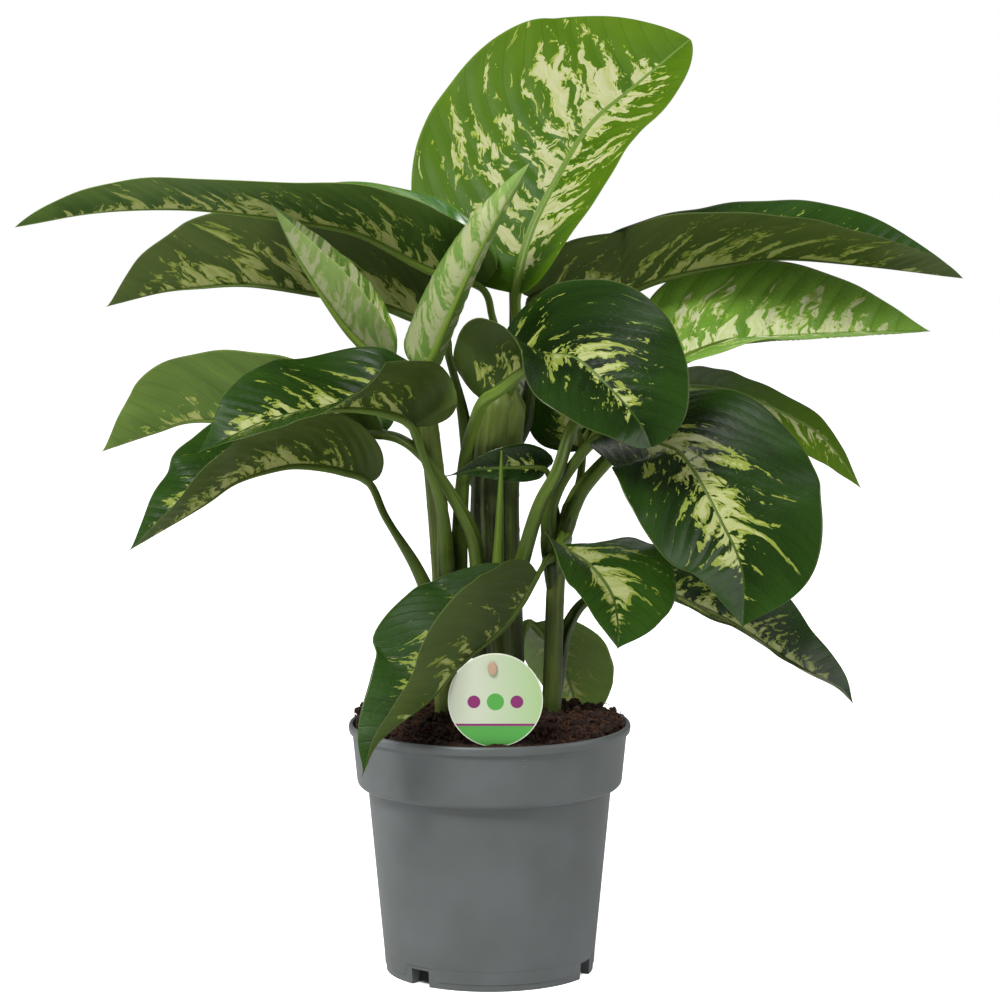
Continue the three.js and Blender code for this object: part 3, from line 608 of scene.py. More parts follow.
# The stalk, which clasps its cane low down and runs into it, is channelled above, and becomes the
# rib under the blade.
def stalkShell(leaf):
    thick, thin = leaf["stalk"]
    stalk, length, path = leaf["stalkLength"], leaf["bladeLength"], leaf["path"]
    shape, sides = stalkShape, stalkShape["sides"]
    distances = np.arange(-shape["rooting"], stalk + length * shape["ribEnd"], shape["step"])
    centres = pointOn(path, np.maximum(distances, 0))
    axis, height = caneBeside(path["points"][0])
    foot = pointOn(axis, height)
    sunk = smooth(shape["rootFrom"], -shape["rooting"], distances)[:, None]
    below = pointOn(axis, height + np.minimum(distances, 0)) - foot
    centres = centres + below + (foot - path["points"][0]) * sunk
    along = unit(np.gradient(centres, axis=0))
    a = np.maximum(0, distances - stalk) / length
    upward = squareTo(along, facing(leaf, a))
    first = int(np.argmax(distances >= stalk))
    for i in range(first - 1, -1, -1):
        upward[i] = squareTo(along[i], upward[i + 1])
    share = np.clip(distances / stalk, 0, 1)
    radius = mix(thick, thin, np.minimum(1, shape["thinning"] * share))
    radius = radius * (1 + shape["flare"] * np.exp(-np.maximum(0, distances) / shape["flareLength"]))
    radius = radius * mix(1, shape["rootRadius"], sunk[:, 0] ** 2)
    tip, narrow, wide = shape["ribRadius"]
    radius = np.where(a > 0, wide * thin * (1 - a) ** 1.5 + narrow * (1 - a) + tip, radius)
    ribDepth = radius * shape["ribSunk"] * smooth(0, shape["sunkFrom"], a)
    centres = centres - upward * ribDepth[:, None]
    fromTop = np.abs((360 * np.arange(sides) / sides - 90 + 180) % 360 - 180)
    wings = shape["wing"] * smooth(*shape["wingFade"], share)
    wingRise = np.exp(-(((fromTop - shape["wingPlace"]) / shape["wingWidth"]) ** 2))
    channel = shape["channel"] * (1 - smooth(0, shape["channelEnd"], a))
    channelDip = np.exp(-((fromTop / shape["channelWidth"]) ** 2))
    radii = radius[:, None] * (1 - channel[:, None] * channelDip + wings[:, None] * wingRise)
    points, faces, stem = tubeShell(centres, np.cross(along, upward), upward, radii)
    tone = np.full((len(points), 1), float(leaf["stalkTone"]))
    lighter = shape["toneSpan"] * share - shape["toneSpan"] / 2
    tone[: len(radii) * sides, 0] += np.repeat(lighter, sides)
    return points, faces, {"stem": stem, "tone": tone}


def titleOf(name):
    first, *others = name.split("_")
    return first + "".join(word.capitalize() for word in others)


# The blade has no place on a stem and the stalk none on a blade, and its pattern is turned off.
def buildLeaf(name, leaf, materials):
    leaf["path"] = tracePath([*leaf["petiole"], *leaf["midrib"]])
    leaf["stalkLength"] = leaf["path"]["distances"][len(leaf["petiole"]) * leaf["path"]["steps"]]
    leaf["bladeLength"] = leaf["path"]["total"] - leaf["stalkLength"]
    points, faces, kinds, fields = bladeShell(leaf)
    stalkPoints, stalkFaces, stalkFields = stalkShell(leaf)
    start, more = len(points), len(stalkPoints)
    fields["stem"] = np.zeros((start, 3))
    stalkFields["veins"] = stalkFields["blade"] = np.zeros((more, 3))
    stalkFields["pattern"] = np.full((more, 1), -1.0)
    fields = {key: np.vstack([values, stalkFields[key]]) for key, values in fields.items()}
    faces = faces + shifted(stalkFaces, start)
    kinds = kinds + [2] * len(stalkFaces)
    piece = addPiece(titleOf(name), np.vstack([points, stalkPoints]), faces, materials, kinds, fields)
    dress(piece, slots[name], name)
    return len(faces)


# Leaf blade: living leaf tissue under a thin wax skin. The ground is an even green, the lighter
# pattern follows the lateral veins outward from the midrib, and the wax gives a soft, broad gloss.
# The undersides have hardly any wax, so they are paler and duller. Leaves still rolled up are pale
# yellow-green with a blurred pattern. The pale margin colour is partly the edge's own and partly a
# painted highlight along it.
leafLooks = {
    "waxyCrownLeaf": {
        "deep": "#284c04", "light": "#4c6a08", "lime": "#869539", "cream": "#a8a980",
        "midrib": "#5f7830", "ribHalfWidth": 3.8, "margin": "#5f7a20",
        "roughness": 0.42, "specular": 0.12, "fringe": 0.03, "fade": 0.04, "soft": 0.02,
    },
    "waxyBrightLeaf": {
        "deep": "#24520b", "light": "#729a36", "lime": "#9bb052", "cream": "#c9cda2",
        "midrib": "#55752c", "ribHalfWidth": 2.0, "margin": "#6c8634",
        "roughness": 0.27, "specular": 0.5, "fringe": 0.03, "fade": 0.08, "soft": 0.015,
    },
    "waxyDarkLeaf": {
        "deep": "#0e1f04", "light": "#2c4a14", "lime": "#7f8c3a", "cream": "#a7ac76",
        "midrib": "#33491a", "ribHalfWidth": 1.8, "margin": "#5c6838",
        "roughness": 0.25, "specular": 0.24, "fringe": 0.06, "fade": 0.55, "soft": 0.015,
    },
    "youngRolledLeaf": {
        "deep": "#64843a", "light": "#88a058", "lime": "#919e62", "cream": "#a0a67c",
        "midrib": "#869b5a", "ribHalfWidth": 1.8, "margin": "#a0ac70",
        "roughness": 0.5, "specular": 0.22, "fringe": 0.1, "fade": 0, "soft": 0.16,
    },
    # Its light colour is partly the undersides' own and partly painted light, raised for leaves that
    # lie in shade.
    "matteUndersideBright": {
        "deep": "#38521a", "light": "#6a8438", "lime": "#86953f", "cream": "#a3a868",
        "midrib": "#6c7f42", "ribHalfWidth": 2.4, "margin": "#7c8850",
        "roughness": 0.45, "specular": 0.14, "fringe": 0.06, "fade": 0.15, "soft": 0.03,
    },
    "matteUndersideDark": {
        "deep": "#2d3e11", "light": "#4e5e28", "lime": "#788634", "cream": "#999e62",
        "midrib": "#55662f", "ribHalfWidth": 2.4, "margin": "#5c6434",
        "roughness": 0.45, "specular": 0.14, "fringe": 0.06, "fade": 0.15, "soft": 0.03,
    },
}
# The pattern's features, squeezed to their size across and along the veins in millimetres, and how
# much each counts in it. Specks, clouds, tint and skin are laid over it apart.
leafGrain = {
    "patches": {"squeeze": (1 / 16, 1 / 26, 1), "detail": 0, "share": 0.7},
    "fingers": {"squeeze": (1 / 6.5, 1 / 22, 1), "detail": 0.6, "share": 1.5},
    "lobes": {"squeeze": (1 / 3.6, 1 / 5.2, 1), "detail": 1.5, "rough": 0.6, "share": 1.15},
    "nibbles": {"squeeze": (1 / 1.3, 1 / 1.7, 1), "detail": 1, "share": 0.4},
    "specks": {"squeeze": (1 / 2.6, 1 / 3.6, 1), "detail": 1},
    "clouds": {"squeeze": (1 / 22, 1 / 40, 1), "detail": 2},
    "tint": {"squeeze": (1 / 2.4, 1 / 18, 1), "detail": 2, "rough": 0.6},
    "skin": {"squeeze": (1 / 1.6, 1 / 1.6, 1), "detail": 2, "rough": 0.6},
}
# How far apart the halves lie in the noise, how far the pattern wanders, and between which values
# its masks open.
leafPattern = {
    "halfStep": 17.3, "wanderSize": 22, "wanderReach": 26, "creamStep": 0.03,
    "specks": 0.61, "speckStep": 0.01, "nearby": [-0.16, -0.12],
    "cloudShare": 0.9, "ground": [0.45, 1.45], "veinHalf": 0.08, "veinShade": 0.3, "veinSunk": 6.0,
    "worn": [0.4, 0.7], "wornTo": 0.45, "rib": [0.4, -0.3], "ribTaper": 0.5,
    "margin": [0.984, 0.996], "marginShare": 0.7, "glossNoise": [0.3, 0.7], "gloss": [-0.04, 0.08],
}


def leafMaterial(name, look):
    skin = {"Roughness": look["roughness"], "IOR": 1.45, "Specular IOR Level": look["specular"]}
    material, tree, shader = startMaterial(name, skin)
    fields = {"veins": "Vector", "blade": "Vector", "pattern": "Fac", "tone": "Fac"}
    for key, kind in fields.items():
        fields[key] = addNode(tree, "Attribute", {"attribute_name": key}).outputs[kind]
    fromBase, fromMidrib, seed = addNode(tree, "SeparateXYZ", inputs=[fields["veins"]]).outputs
    share, out, veinCount = addNode(tree, "SeparateXYZ", inputs=[fields["blade"]]).outputs

    # The two halves and the leaves each get a layer of their own in the noise, which wanders a little.
    side = addNode(tree, "Math", "SIGN", [fromMidrib])
    depth = addNode(tree, "Math", "MULTIPLY_ADD", [side, leafPattern["halfStep"], seed])
    spot = addNode(tree, "CombineXYZ", inputs=[fromBase, fromMidrib, depth])
    drift = {"Vector": spot, "Scale": 1 / leafPattern["wanderSize"]}
    drift = addNode(tree, "TexNoise", inputs=drift).outputs["Color"]
    drift = addNode(tree, "VectorMath", "SUBTRACT", [drift, (0.5, 0.5, 0.5)])
    reach = leafPattern["wanderReach"]
    drift = addNode(tree, "VectorMath", "MULTIPLY", [drift, (reach, reach, 0)])
    spot = addNode(tree, "VectorMath", "ADD", [spot, drift])
    layers = noiseLayers(tree, spot, leafGrain)
    weights = {key: size["share"] for key, size in leafGrain.items() if "share" in size}
    pattern = fields["pattern"]
    for key, weight in weights.items():
        pattern = addNode(tree, "Math", "MULTIPLY_ADD", [layers[key], weight, pattern])
    edge = sum(weights.values()) / 2

    # Where the ground turns lime, where the lime turns cream, and the islands off the fingers' ends.
    soft = look["soft"]
    creamEdge, specks = edge + look["fringe"], leafPattern["specks"]
    faded = addNode(tree, "Math", "MULTIPLY_ADD", [out, -look["fade"], pattern])
    spans = {
        "lime": [pattern, edge, edge + soft],
        "cream": [faded, creamEdge, creamEdge + leafPattern["creamStep"] + soft],
        "island": [layers["specks"], specks, specks + leafPattern["speckStep"] + soft],
        "nearby": [pattern, *[edge + step for step in leafPattern["nearby"]]],
        "rib": [share, 1.0, 0.0],
        "worn": [layers["tint"], *leafPattern["worn"], 1.0, leafPattern["wornTo"]],
    }
    masks = {key: addNode(tree, "MapRange", inputs=span) for key, span in spans.items()}
    islands = addNode(tree, "Math", "MULTIPLY", [masks["island"], masks["nearby"]])
    limeMask = addNode(tree, "Math", "MAXIMUM", [masks["lime"], islands])
    creamMask = addNode(tree, "Math", "MULTIPLY", [masks["cream"], masks["worn"]])

    # The ground's clouds, painted shade along the sunken veins, the pattern, the midrib and the margin
    # with its painted highlight, one over another.
    tone = addNode(
        tree, "Math", "MULTIPLY_ADD", [layers["clouds"], leafPattern["cloudShare"], fields["tone"]]
    )
    colour = layOver(tree, look["deep"], look["light"], tone, *leafPattern["ground"])
    # Vein lines are darkened with the deep colour: painted shade in the creases that the veins sink
    # into.
    fromVein = addNode(tree, "Math", "PINGPONG", [veinCount, 0.5])
    veinSpan = [fromVein, leafPattern["veinHalf"], 0.0, 0.0, leafPattern["veinShade"]]
    veinLine = addNode(tree, "MapRange", inputs=veinSpan)
    coats = [(veinLine, "deep"), (limeMask, "lime"), (creamMask, "cream")]
    for mask, tint in coats:
        colour = addNode(tree, "Mix", {"data_type": "RGBA"}, [mask, colour, look[tint]])
    fromRib = addNode(tree, "Math", "ABSOLUTE", [fromMidrib])
    ribTaper = leafPattern["ribTaper"]
    ribEdge = [masks["rib"], look["ribHalfWidth"] - ribTaper, ribTaper]
    ribEdge = addNode(tree, "Math", "MULTIPLY_ADD", ribEdge)
    fromRib = addNode(tree, "Math", "SUBTRACT", [fromRib, ribEdge])
    colour = layOver(tree, colour, look["midrib"], fromRib, *leafPattern["rib"])
    # The pale margin is partly the leaf's own edge and partly a painted highlight along it.
    margin = [out, *leafPattern["margin"], leafPattern["marginShare"]]
    colour = layOver(tree, colour, look["margin"], *margin)

    gloss = [look["roughness"] + step for step in leafPattern["gloss"]]
    roughness = addNode(
        tree, "MapRange", inputs=[layers["skin"], *leafPattern["glossNoise"], *gloss]
    )
    relief = [veinLine, -leafPattern["veinSunk"], layers["skin"]]
    relief = addNode(tree, "Math", "MULTIPLY_ADD", relief)
    bump = addNode(tree, "Bump", inputs={"Strength": 0.5, "Distance": 0.05 * mm, "Height": relief})
    setInputs(tree, shader, {"Base Color": colour, "Roughness": roughness, "Normal": bump})
    return material


# Stalk and cane: green stem skin, smooth and waxy with faint stripes along it and pale flecks.
# The grain gives how often each pattern comes round the stem, and its length in millimetres.
stemLooks = {
    "waxyStalk": {
        "deep": "#1f2a07", "light": "#68822c", "fleck": "#86925a", "flecks": 0.7, "roughness": 0.4,
    },
    "stripedCane": {
        "deep": "#171e08", "light": "#768a38", "fleck": "#56482a", "flecks": 0.66, "roughness": 0.5,
    },
}
stemGrain = {
    "stripes": {"squeeze": (2.6, 2.6, 1 / 70), "detail": 3, "share": 0.8},
    "clouds": {"squeeze": (0.8, 0.8, 1 / 30), "detail": 2, "share": 0.5},
    "flecks": {"squeeze": (3.2, 3.2, 1 / 4.5), "detail": 2},
}
stemPattern = {"ground": [0.65, 1.65], "fleckEdge": 0.05, "fleckShare": 0.6}


def stemMaterial(name, look):
    skin = {"Roughness": look["roughness"], "IOR": 1.45, "Specular IOR Level": 0.3}
    material, tree, shader = startMaterial(name, skin)
    stem = addNode(tree, "Attribute", {"attribute_name": "stem"}).outputs["Vector"]
    tone = addNode(tree, "Attribute", {"attribute_name": "tone"}).outputs["Fac"]
    layers = noiseLayers(tree, stem, stemGrain)
    for key in ("stripes", "clouds"):
        tone = addNode(tree, "Math", "MULTIPLY_ADD", [layers[key], stemGrain[key]["share"], tone])
    colour = layOver(tree, look["deep"], look["light"], tone, *stemPattern["ground"])
    flecks = [layers["flecks"], look["flecks"], look["flecks"] + stemPattern["fleckEdge"]]
    colour = layOver(tree, colour, look["fleck"], *flecks, stemPattern["fleckShare"])
    stripes = {"Strength": 0.4, "Distance": 0.4 * mm, "Height": layers["stripes"]}
    bump = addNode(tree, "Bump", inputs=stripes)
    setInputs(tree, shader, {"Base Color": colour, "Normal": bump})
    return material


# Canes

canes = {
    "cane_left": {
        "path": [[-27, -15, 90], [-29, -15, 186], [-30, -15, 254], [-36, -15, 330], [-41, -17, 378]],
        "radius": [8.5, 6.5], "tone": [0.95, 0.7, 0.5, 0.7], "seed": 5,
    },
    "cane_front": {
        "path": [[10, -26, 90], [10, -25, 195], [6, -23, 250], [5, -23, 278]],
        "radius": [8, 7], "tone": 0.3, "seed": 6,
    },
    "cane_right": {
        "path": [[40, -8, 90], [42, -10, 190], [45, -10, 276], [54, -8, 312]],
        "radius": [7, 5.8], "tone": 0.3, "seed": 7,
    },
    # Its low tone is painted shade, for the bundle standing in the leaves' shadow; it lightens at the
    # top.
    "cane_middle": {
        "path": [[6, 14, 90], [6, 14, 190], [4, 12, 300], [6, 11, 350], [12, 10, 402]],
        "radius": [17.5, 15.5], "tone": [0.26, 0.18, 0.18, 0.22, 0.7], "seed": 8,
    },
}
# Joints swell where leaves have dropped, and lobes and ridges keep the cane from being round.
caneSkin = {
    "step": 1.6, "sides": 40, "dome": 6,
    "jointSpacing": 24, "jointUneven": [0.75, 1.3], "jointHeight": 0.03, "jointWidth": 1.4,
    "waver": 0.03, "lobes": 3, "lobeTwist": 30, "ridges": 9, "ridgeShare": 0.35,
}
sheaths = {
    "count": 5, "offset": 0.5, "radius": 0.56, "twist": 40, "shortest": 0.975, "closing": 16,
    "closedTo": 0.1, "uneven": 0.15, "endSpread": 0.618,
}
spear = {
    "path": [[5, -23, 272], [7, -25, 320], [8, -26, 356]],
    "radius": [3.8, 0.6], "taper": 1.3, "roll": 0.22, "rollTwist": 2.5, "step": 1.5, "sides": 36,
    "tone": 0.7,
}


# Frames carried along a path without twisting, with the centres of its rings.
def pathFrames(path, distances):
    along = directionOn(path, distances)
    upward = np.zeros_like(along)
    upward[0] = squareTo(along[0], np.array([0.0, -1.0, 0.0]))
    for i in range(1, len(distances)):
        upward[i] = squareTo(along[i], upward[i - 1])
    return pointOn(path, distances), upward, np.cross(along, upward)


def caneRadii(cane, distances, total, draw):
    radius = mix(*cane["radius"], distances / total)
    joint = draw.uniform(0, caneSkin["jointSpacing"])
    swell = np.zeros_like(distances)
    while joint < total:
        swell += np.exp(-(((distances - joint) / caneSkin["jointWidth"]) ** 2))
        joint += caneSkin["jointSpacing"] * draw.uniform(*caneSkin["jointUneven"])
    angle = circle(caneSkin["sides"])
    turn = distances[:, None] / caneSkin["lobeTwist"] + cane["seed"]
    lobes = np.cos(caneSkin["lobes"] * angle + turn)
    ridges = np.cos(caneSkin["ridges"] * angle + cane["seed"]) * caneSkin["ridgeShare"]
    waver = caneSkin["waver"] * (lobes + ridges)
    return radius[:, None] * (1 + caneSkin["jointHeight"] * swell[:, None] + waver)


# Share of the full radius near an end that is closed by a dome of the given length.
def domed(distances, end, length):
    return np.sqrt(np.clip(1 - (1 - (end - distances) / length).clip(0) ** 2, 0.02, 1))


def addStem(parts, centres, sideways, upward, radii, tone):
    points, faces, stem = tubeShell(centres, sideways, upward, radii)
    start = sum(len(part["points"]) for part in parts)
    tones = np.repeat(np.broadcast_to(tone, len(radii)), radii.shape[1])
    tones = np.concatenate([tones, tones[[0, -1]]])
    parts.append({"points": points, "faces": shifted(faces, start), "stem": stem, "tone": tones})


def finishStem(title, parts, slot, node, material):
    points = np.vstack([part["points"] for part in parts])
    faces = [face for part in parts for face in part["faces"]]
    fields = {key: np.concatenate([part[key] for part in parts]) for key in ("stem", "tone")}
    dress(addPiece(title, points, faces, [material], fields=fields), slot, node)


def buildCane(name, cane, material):
    draw = np.random.default_rng(cane["seed"])
    path = tracePath(cane["path"])
    distances = np.arange(0, path["total"], caneSkin["step"])
    parts = []
    if name == "cane_middle":
        buildSheaths(parts, cane, path, distances, draw)
    else:
        centres, upward, sideways = pathFrames(path, distances)
        radii = caneRadii(cane, distances, path["total"], draw)
        radii = radii * domed(distances, path["total"], caneSkin["dome"])[:, None]
        tone = between(cane["tone"], distances / path["total"])
        addStem(parts, centres, sideways, upward, radii, tone)
    finishStem(titleOf(name), parts, "cane", name, material)


# The middle cane is a bundle of leaf sheaths, wrapped round each other and ending at various heights.
def buildSheaths(parts, cane, path, distances, draw):
    total = path["total"]
    for i in range(sheaths["count"]):
        share = mix(sheaths["shortest"], 1, (i * sheaths["endSpread"]) % 1)
        kept = distances[distances <= total * share]
        centres, upward, sideways = pathFrames(path, kept)
        turn = np.radians(360 * i / sheaths["count"] + sheaths["twist"] * kept / total)
        bundle = mix(*cane["radius"], kept / total)
        direction = np.cos(turn)[:, None] * sideways + np.sin(turn)[:, None] * upward
        sheath = {"radius": [1, 1], "seed": cane["seed"] + i}
        radii = caneRadii(sheath, kept, total, draw) * (bundle * sheaths["radius"])[:, None]
        closing = smooth(kept[-1], kept[-1] - sheaths["closing"], kept)
        radii = radii * mix(sheaths["closedTo"], 1, closing)[:, None]
        tone = between(cane["tone"], kept / total)
        tone = tone + draw.uniform(-sheaths["uneven"], sheaths["uneven"])
        centres = centres + direction * (bundle * sheaths["offset"])[:, None]
        addStem(parts, centres, sideways, upward, radii, tone)


def buildSpear(material):
    path = tracePath(spear["path"])
    distances = np.arange(0, path["total"], spear["step"])
    centres, upward, sideways = pathFrames(path, distances)
    share = distances / path["total"]
    radius = mix(*spear["radius"], share ** spear["taper"])
    turn = circle(spear["sides"]) + spear["rollTwist"] * share[:, None]
    rolled = spear["roll"] * (turn % (2 * np.pi) / (2 * np.pi) - 0.5)
    parts = []
    addStem(parts, centres, sideways, upward, radius[:, None] * (1 - rolled), spear["tone"])
    finishStem("leafSpear", parts, "leaf_pale", "leaf_spear", material)


# Pot

pot = {
    "sides": 360, "longest": 6, "footRadius": 71, "footTop": 13.1, "footRings": 28, "filletSteps": 5,
    "panelHeight": [3.4, 12.6], "panelProud": 0.55, "panelFromNotch": 8, "panelSlant": 3.5,
    "panelBlend": 0.5, "sharp": 40,
}
# Corners of the wall's section: radius, height, and how far each is rounded.
potProfile = [
    [0, 0, 0], [20, 0, 0.8], [21, 9, 0.8], [62.5, 9, 0.8], [64.5, 0, 0.5], [70.4, 0, 0.7],
    [70.7, 13, 0.2], [71.5, 13.4, 0.2], [82.1, 125.8, 0.4], [86.6, 126.2, 1.6], [89.2, 128.8, 2.4],
    [92.5, 162.6, 0.3], [94.6, 163.2, 0.5], [95.2, 166.8, 1.2], [94.3, 169, 0.9], [92.2, 169, 0.9],
    [91.2, 165, 1], [87.7, 133.2, 3], [85.8, 129, 1.5], [80.6, 127.6, 1], [69.7, 15, 2],
    [66.5, 12, 2], [0, 12, 0],
]
drainNotch = {
    "width": 15, "height": 11, "reach": 14, "inset": 2, "angles": [-131, -24, 49, 121, 169],
}


# Each corner becomes a short curve that leaves and meets the straight walls smoothly.
def roundCorners(corners, steps):
    points = [np.array(corners[0][:2], float)]
    for before, corner, after in zip(corners, corners[1:], corners[2:]):
        here = np.array(corner[:2], float)
        toBefore = np.array(before[:2], float) - here
        toAfter = np.array(after[:2], float) - here
        reach = min(corner[2], 0.45 * np.linalg.norm(toBefore), 0.45 * np.linalg.norm(toAfter))
        start = here + toBefore / np.linalg.norm(toBefore) * reach
        end = here + toAfter / np.linalg.norm(toAfter) * reach
        for t in np.linspace(0, 1, steps):
            points.append((1 - t) ** 2 * start + 2 * t * (1 - t) * here + t**2 * end)
    points.append(np.array(corners[-1][:2], float))
    return np.array(points)


def splitLong(points, longest):
    pieces = [points[:1]]
    for a, b in zip(points, points[1:]):
        count = max(1, math.ceil(np.linalg.norm(b - a) / longest))
        pieces.append(a + (b - a) * (np.arange(1, count + 1) / count)[:, None])
    return np.vstack(pieces)


# The foot gets more rings than the rest, and between the notches it carries raised panels.
def buildPot(material):
    profile = splitLong(roundCorners(potProfile, pot["filletSteps"]), pot["longest"])
    foot = (profile[:, 1] < pot["footTop"]) & (profile[:, 0] > pot["footRadius"] - 1)
    fine = np.linspace(profile[foot][0], profile[foot][-1], pot["footRings"])
    first = int(np.argmax(foot))
    profile = np.vstack([profile[:first], fine, profile[first + int(foot.sum()):]])
    radius, height = profile[1:-1, :1], profile[1:-1, 1:]
    degrees = np.degrees(circle(pot["sides"]))
    turns = [np.abs((degrees - angle + 180) % 360 - 180) for angle in drainNotch["angles"]]
    clear = np.radians(np.min(turns, axis=0)) * pot["footRadius"] - drainNotch["width"] / 2
    bottom, top = pot["panelHeight"]
    slant = pot["panelFromNotch"] - pot["panelSlant"] * smooth(bottom, top, height)
    blend = pot["panelBlend"]
    panel = smooth(slant - blend, slant + blend, clear)
    panel = panel * smooth(bottom - blend / 2, bottom + blend / 2, height)
    panel = panel * (height < pot["footTop"] + 0.2) * (radius > pot["footRadius"] - 0.7)
    points, faces = lathe(profile, pot["sides"], pot["panelProud"] * panel)
    piece = addPiece("nurseryPot", points, faces, [material], sharp=pot["sharp"])
    for degree in drainNotch["angles"]:
        cutNotch(piece, math.radians(degree))
    piece.data.set_sharp_from_angle(angle=math.radians(pot["sharp"]))
    dress(piece, "pot_plastic", "pot")


# A block, its corners in the order of x, y and z, cuts through the foot's wall.
def cutNotch(piece, angle):
    cosine, sine = math.cos(angle), math.sin(angle)
    size = Vector((drainNotch["reach"], drainNotch["width"], 2 * drainNotch["height"])) * mm
    middle = (pot["footRadius"] - drainNotch["inset"]) * mm
    corners = [
        (x * size.x / 2 + middle, y * size.y / 2, z * size.z / 2)
        for x in (-1, 1) for y in (-1, 1) for z in (-1, 1)
    ]
    corners = [(x * cosine - y * sine, x * sine + y * cosine, z) for x, y, z in corners]
    sides = [[0, 1, 3, 2], [4, 6, 7, 5], [0, 4, 5, 1], [2, 3, 7, 6], [0, 2, 6, 4], [1, 5, 7, 3]]
    mesh = bpy.data.meshes.new("notch")
    mesh.from_pydata(corners, [], sides)
    cutter = bpy.data.objects.new("notch", mesh)
    bpy.context.scene.collection.objects.link(cutter)
    cut = piece.modifiers.new("notch", "BOOLEAN")
    cut.object = cutter
    cut.solver = "EXACT"
    evaluated = piece.evaluated_get(bpy.context.evaluated_depsgraph_get())
    cutMesh = bpy.data.meshes.new_from_object(evaluated)
    piece.modifiers.clear()
    piece.data = cutMesh
    bpy.data.objects.remove(cutter)


# Polypropylene, injection moulded, recycled grey: an even satin grey with a fine moulded grain,
# faint clouds of tone and a few pale scuffs.
mouldedPolypropylene = {
    "base": "#595e5e", "shade": "#515655", "scuff": "#9aa19f", "roughness": 0.46,
    "grainSize": 0.5, "cloudSize": 45, "scuffSize": 16, "scuffFlat": 14,
    "cloudSpan": [0.35, 0.65], "scuffSpan": [0.73, 0.8], "scuffShare": 0.5,
}


# Object coordinates are in metres, so a size in millimetres is turned to how often it comes a metre.
def potMaterial(look):
    skin = {"Roughness": look["roughness"], "IOR": 1.49}
    material, tree, shader = startMaterial("mouldedPolypropylene", skin)
    spot = addNode(tree, "TexCoord").outputs["Object"]
    flat = addNode(tree, "VectorMath", "MULTIPLY", [spot, (1, 1, look["scuffFlat"])])
    noises = {
        "clouds": {"Vector": spot, "Scale": 1000 / look["cloudSize"], "Detail": 2.0},
        "scuffs": {"Vector": flat, "Scale": 1000 / look["scuffSize"], "Detail": 4.0},
        "grain": {"Vector": spot, "Scale": 1000 / look["grainSize"]},
    }
    noises = {key: addNode(tree, "TexNoise", inputs=inputs) for key, inputs in noises.items()}
    colour = layOver(tree, look["shade"], look["base"], noises["clouds"], *look["cloudSpan"])
    scuffs = [noises["scuffs"], *look["scuffSpan"], look["scuffShare"]]
    colour = layOver(tree, colour, look["scuff"], *scuffs)
    relief = {"Strength": 0.15, "Distance": 0.1 * mm, "Height": noises["grain"]}
    bump = addNode(tree, "Bump", inputs=relief)
    setInputs(tree, shader, {"Base Color": colour, "Normal": bump})
    return material


# Soil

# The surface is a mound with lumps, a bank at one side and a rough grain. At its edge it drops by
# so much over so much, and its roughness dies down.
soil = {
    "sides": 200, "rings": 64, "level": 168, "mound": 10, "moundRadius": 92,
    "bankHeight": 7, "bankRadius": 80, "bankSpread": 500, "bankTurn": 0.25,
    "roughness": 2.6, "roughSize": 9, "roughFractal": [0.8, 2.1, 5],
    "edge": 90.2, "edgeDrop": [4.5, 4.2], "edgeCalm": [0.6, 4], "middle": 1.2, "seed": 21,
}
soilLumps = [
    {"height": 2.2, "around": 3, "turn": 0.6, "spacing": 13, "start": 0},
    {"height": 1.6, "around": 7, "turn": 1.9, "spacing": 9, "start": 1},
]
soilWall = [
    [66.2, 12.4], [69.4, 15.3], [80.2, 128.1], [85.5, 129.5], [87.3, 133.6], [90.4, 163],
]
crumbs = {
    "count": 2200, "size": [0.8, 4.2], "sizeBias": 2.2, "within": 89, "lift": 0.25,
    "cornerSpread": [0.7, 1.25], "width": [0.5, 1], "flatness": [0.45, 0.9],
}
fibres = {
    "count": 800, "length": [6, 22], "radius": [0.16, 0.42], "within": 88, "reach": 91, "knots": 8,
    "lift": 0.4, "arch": [-0.8, 3.6], "wander": 0.6, "thinEnds": 0.7, "sides": 5,
}


def soilHeight(radius, angle):
    height = soil["level"] + soil["mound"] * (1 - (radius / soil["moundRadius"]) ** 2)
    for lump in soilLumps:
        around = np.sin(lump["around"] * angle + lump["turn"])
        height = height + lump["height"] * around * np.sin(radius / lump["spacing"] + lump["start"])
    side = np.maximum(0, -np.cos(angle + soil["bankTurn"])) ** 3
    bank = np.exp(-((radius - soil["bankRadius"]) ** 2) / soil["bankSpread"])
    return height + soil["bankHeight"] * bank * side


def roughHeight(x, y):
    place = Vector((x / soil["roughSize"], y / soil["roughSize"], 3))
    return soil["roughness"] * noise.fractal(place, *soil["roughFractal"])


def buildSoil(peat):
    sides, edge = soil["sides"], soil["edge"]
    (drop, dropWidth), (still, calmWidth) = soil["edgeDrop"], soil["edgeCalm"]
    angle = circle(sides)
    rows = [[r * np.cos(angle), r * np.sin(angle), np.full(sides, z)] for r, z in soilWall]
    for r in np.linspace(edge, soil["middle"], soil["rings"]):
        x, y = r * np.cos(angle), r * np.sin(angle)
        rough = np.array([roughHeight(*p) for p in zip(x, y)])
        rough = rough * min(1, (edge + still - r) / calmWidth)
        rows.append([x, y, soilHeight(r, angle) + rough - drop * smooth(edge - dropWidth, edge, r)])
    rows = np.moveaxis(np.array(rows), 1, -1)
    ends = [[0, 0, soilWall[0][1]], [0, 0, rows[-1][:, 2].mean()]]
    points = np.vstack([rows.reshape(-1, 3), ends])
    dress(addPiece("peatBed", points, closedFaces(len(rows), sides), [peat]), "peat", "soil")


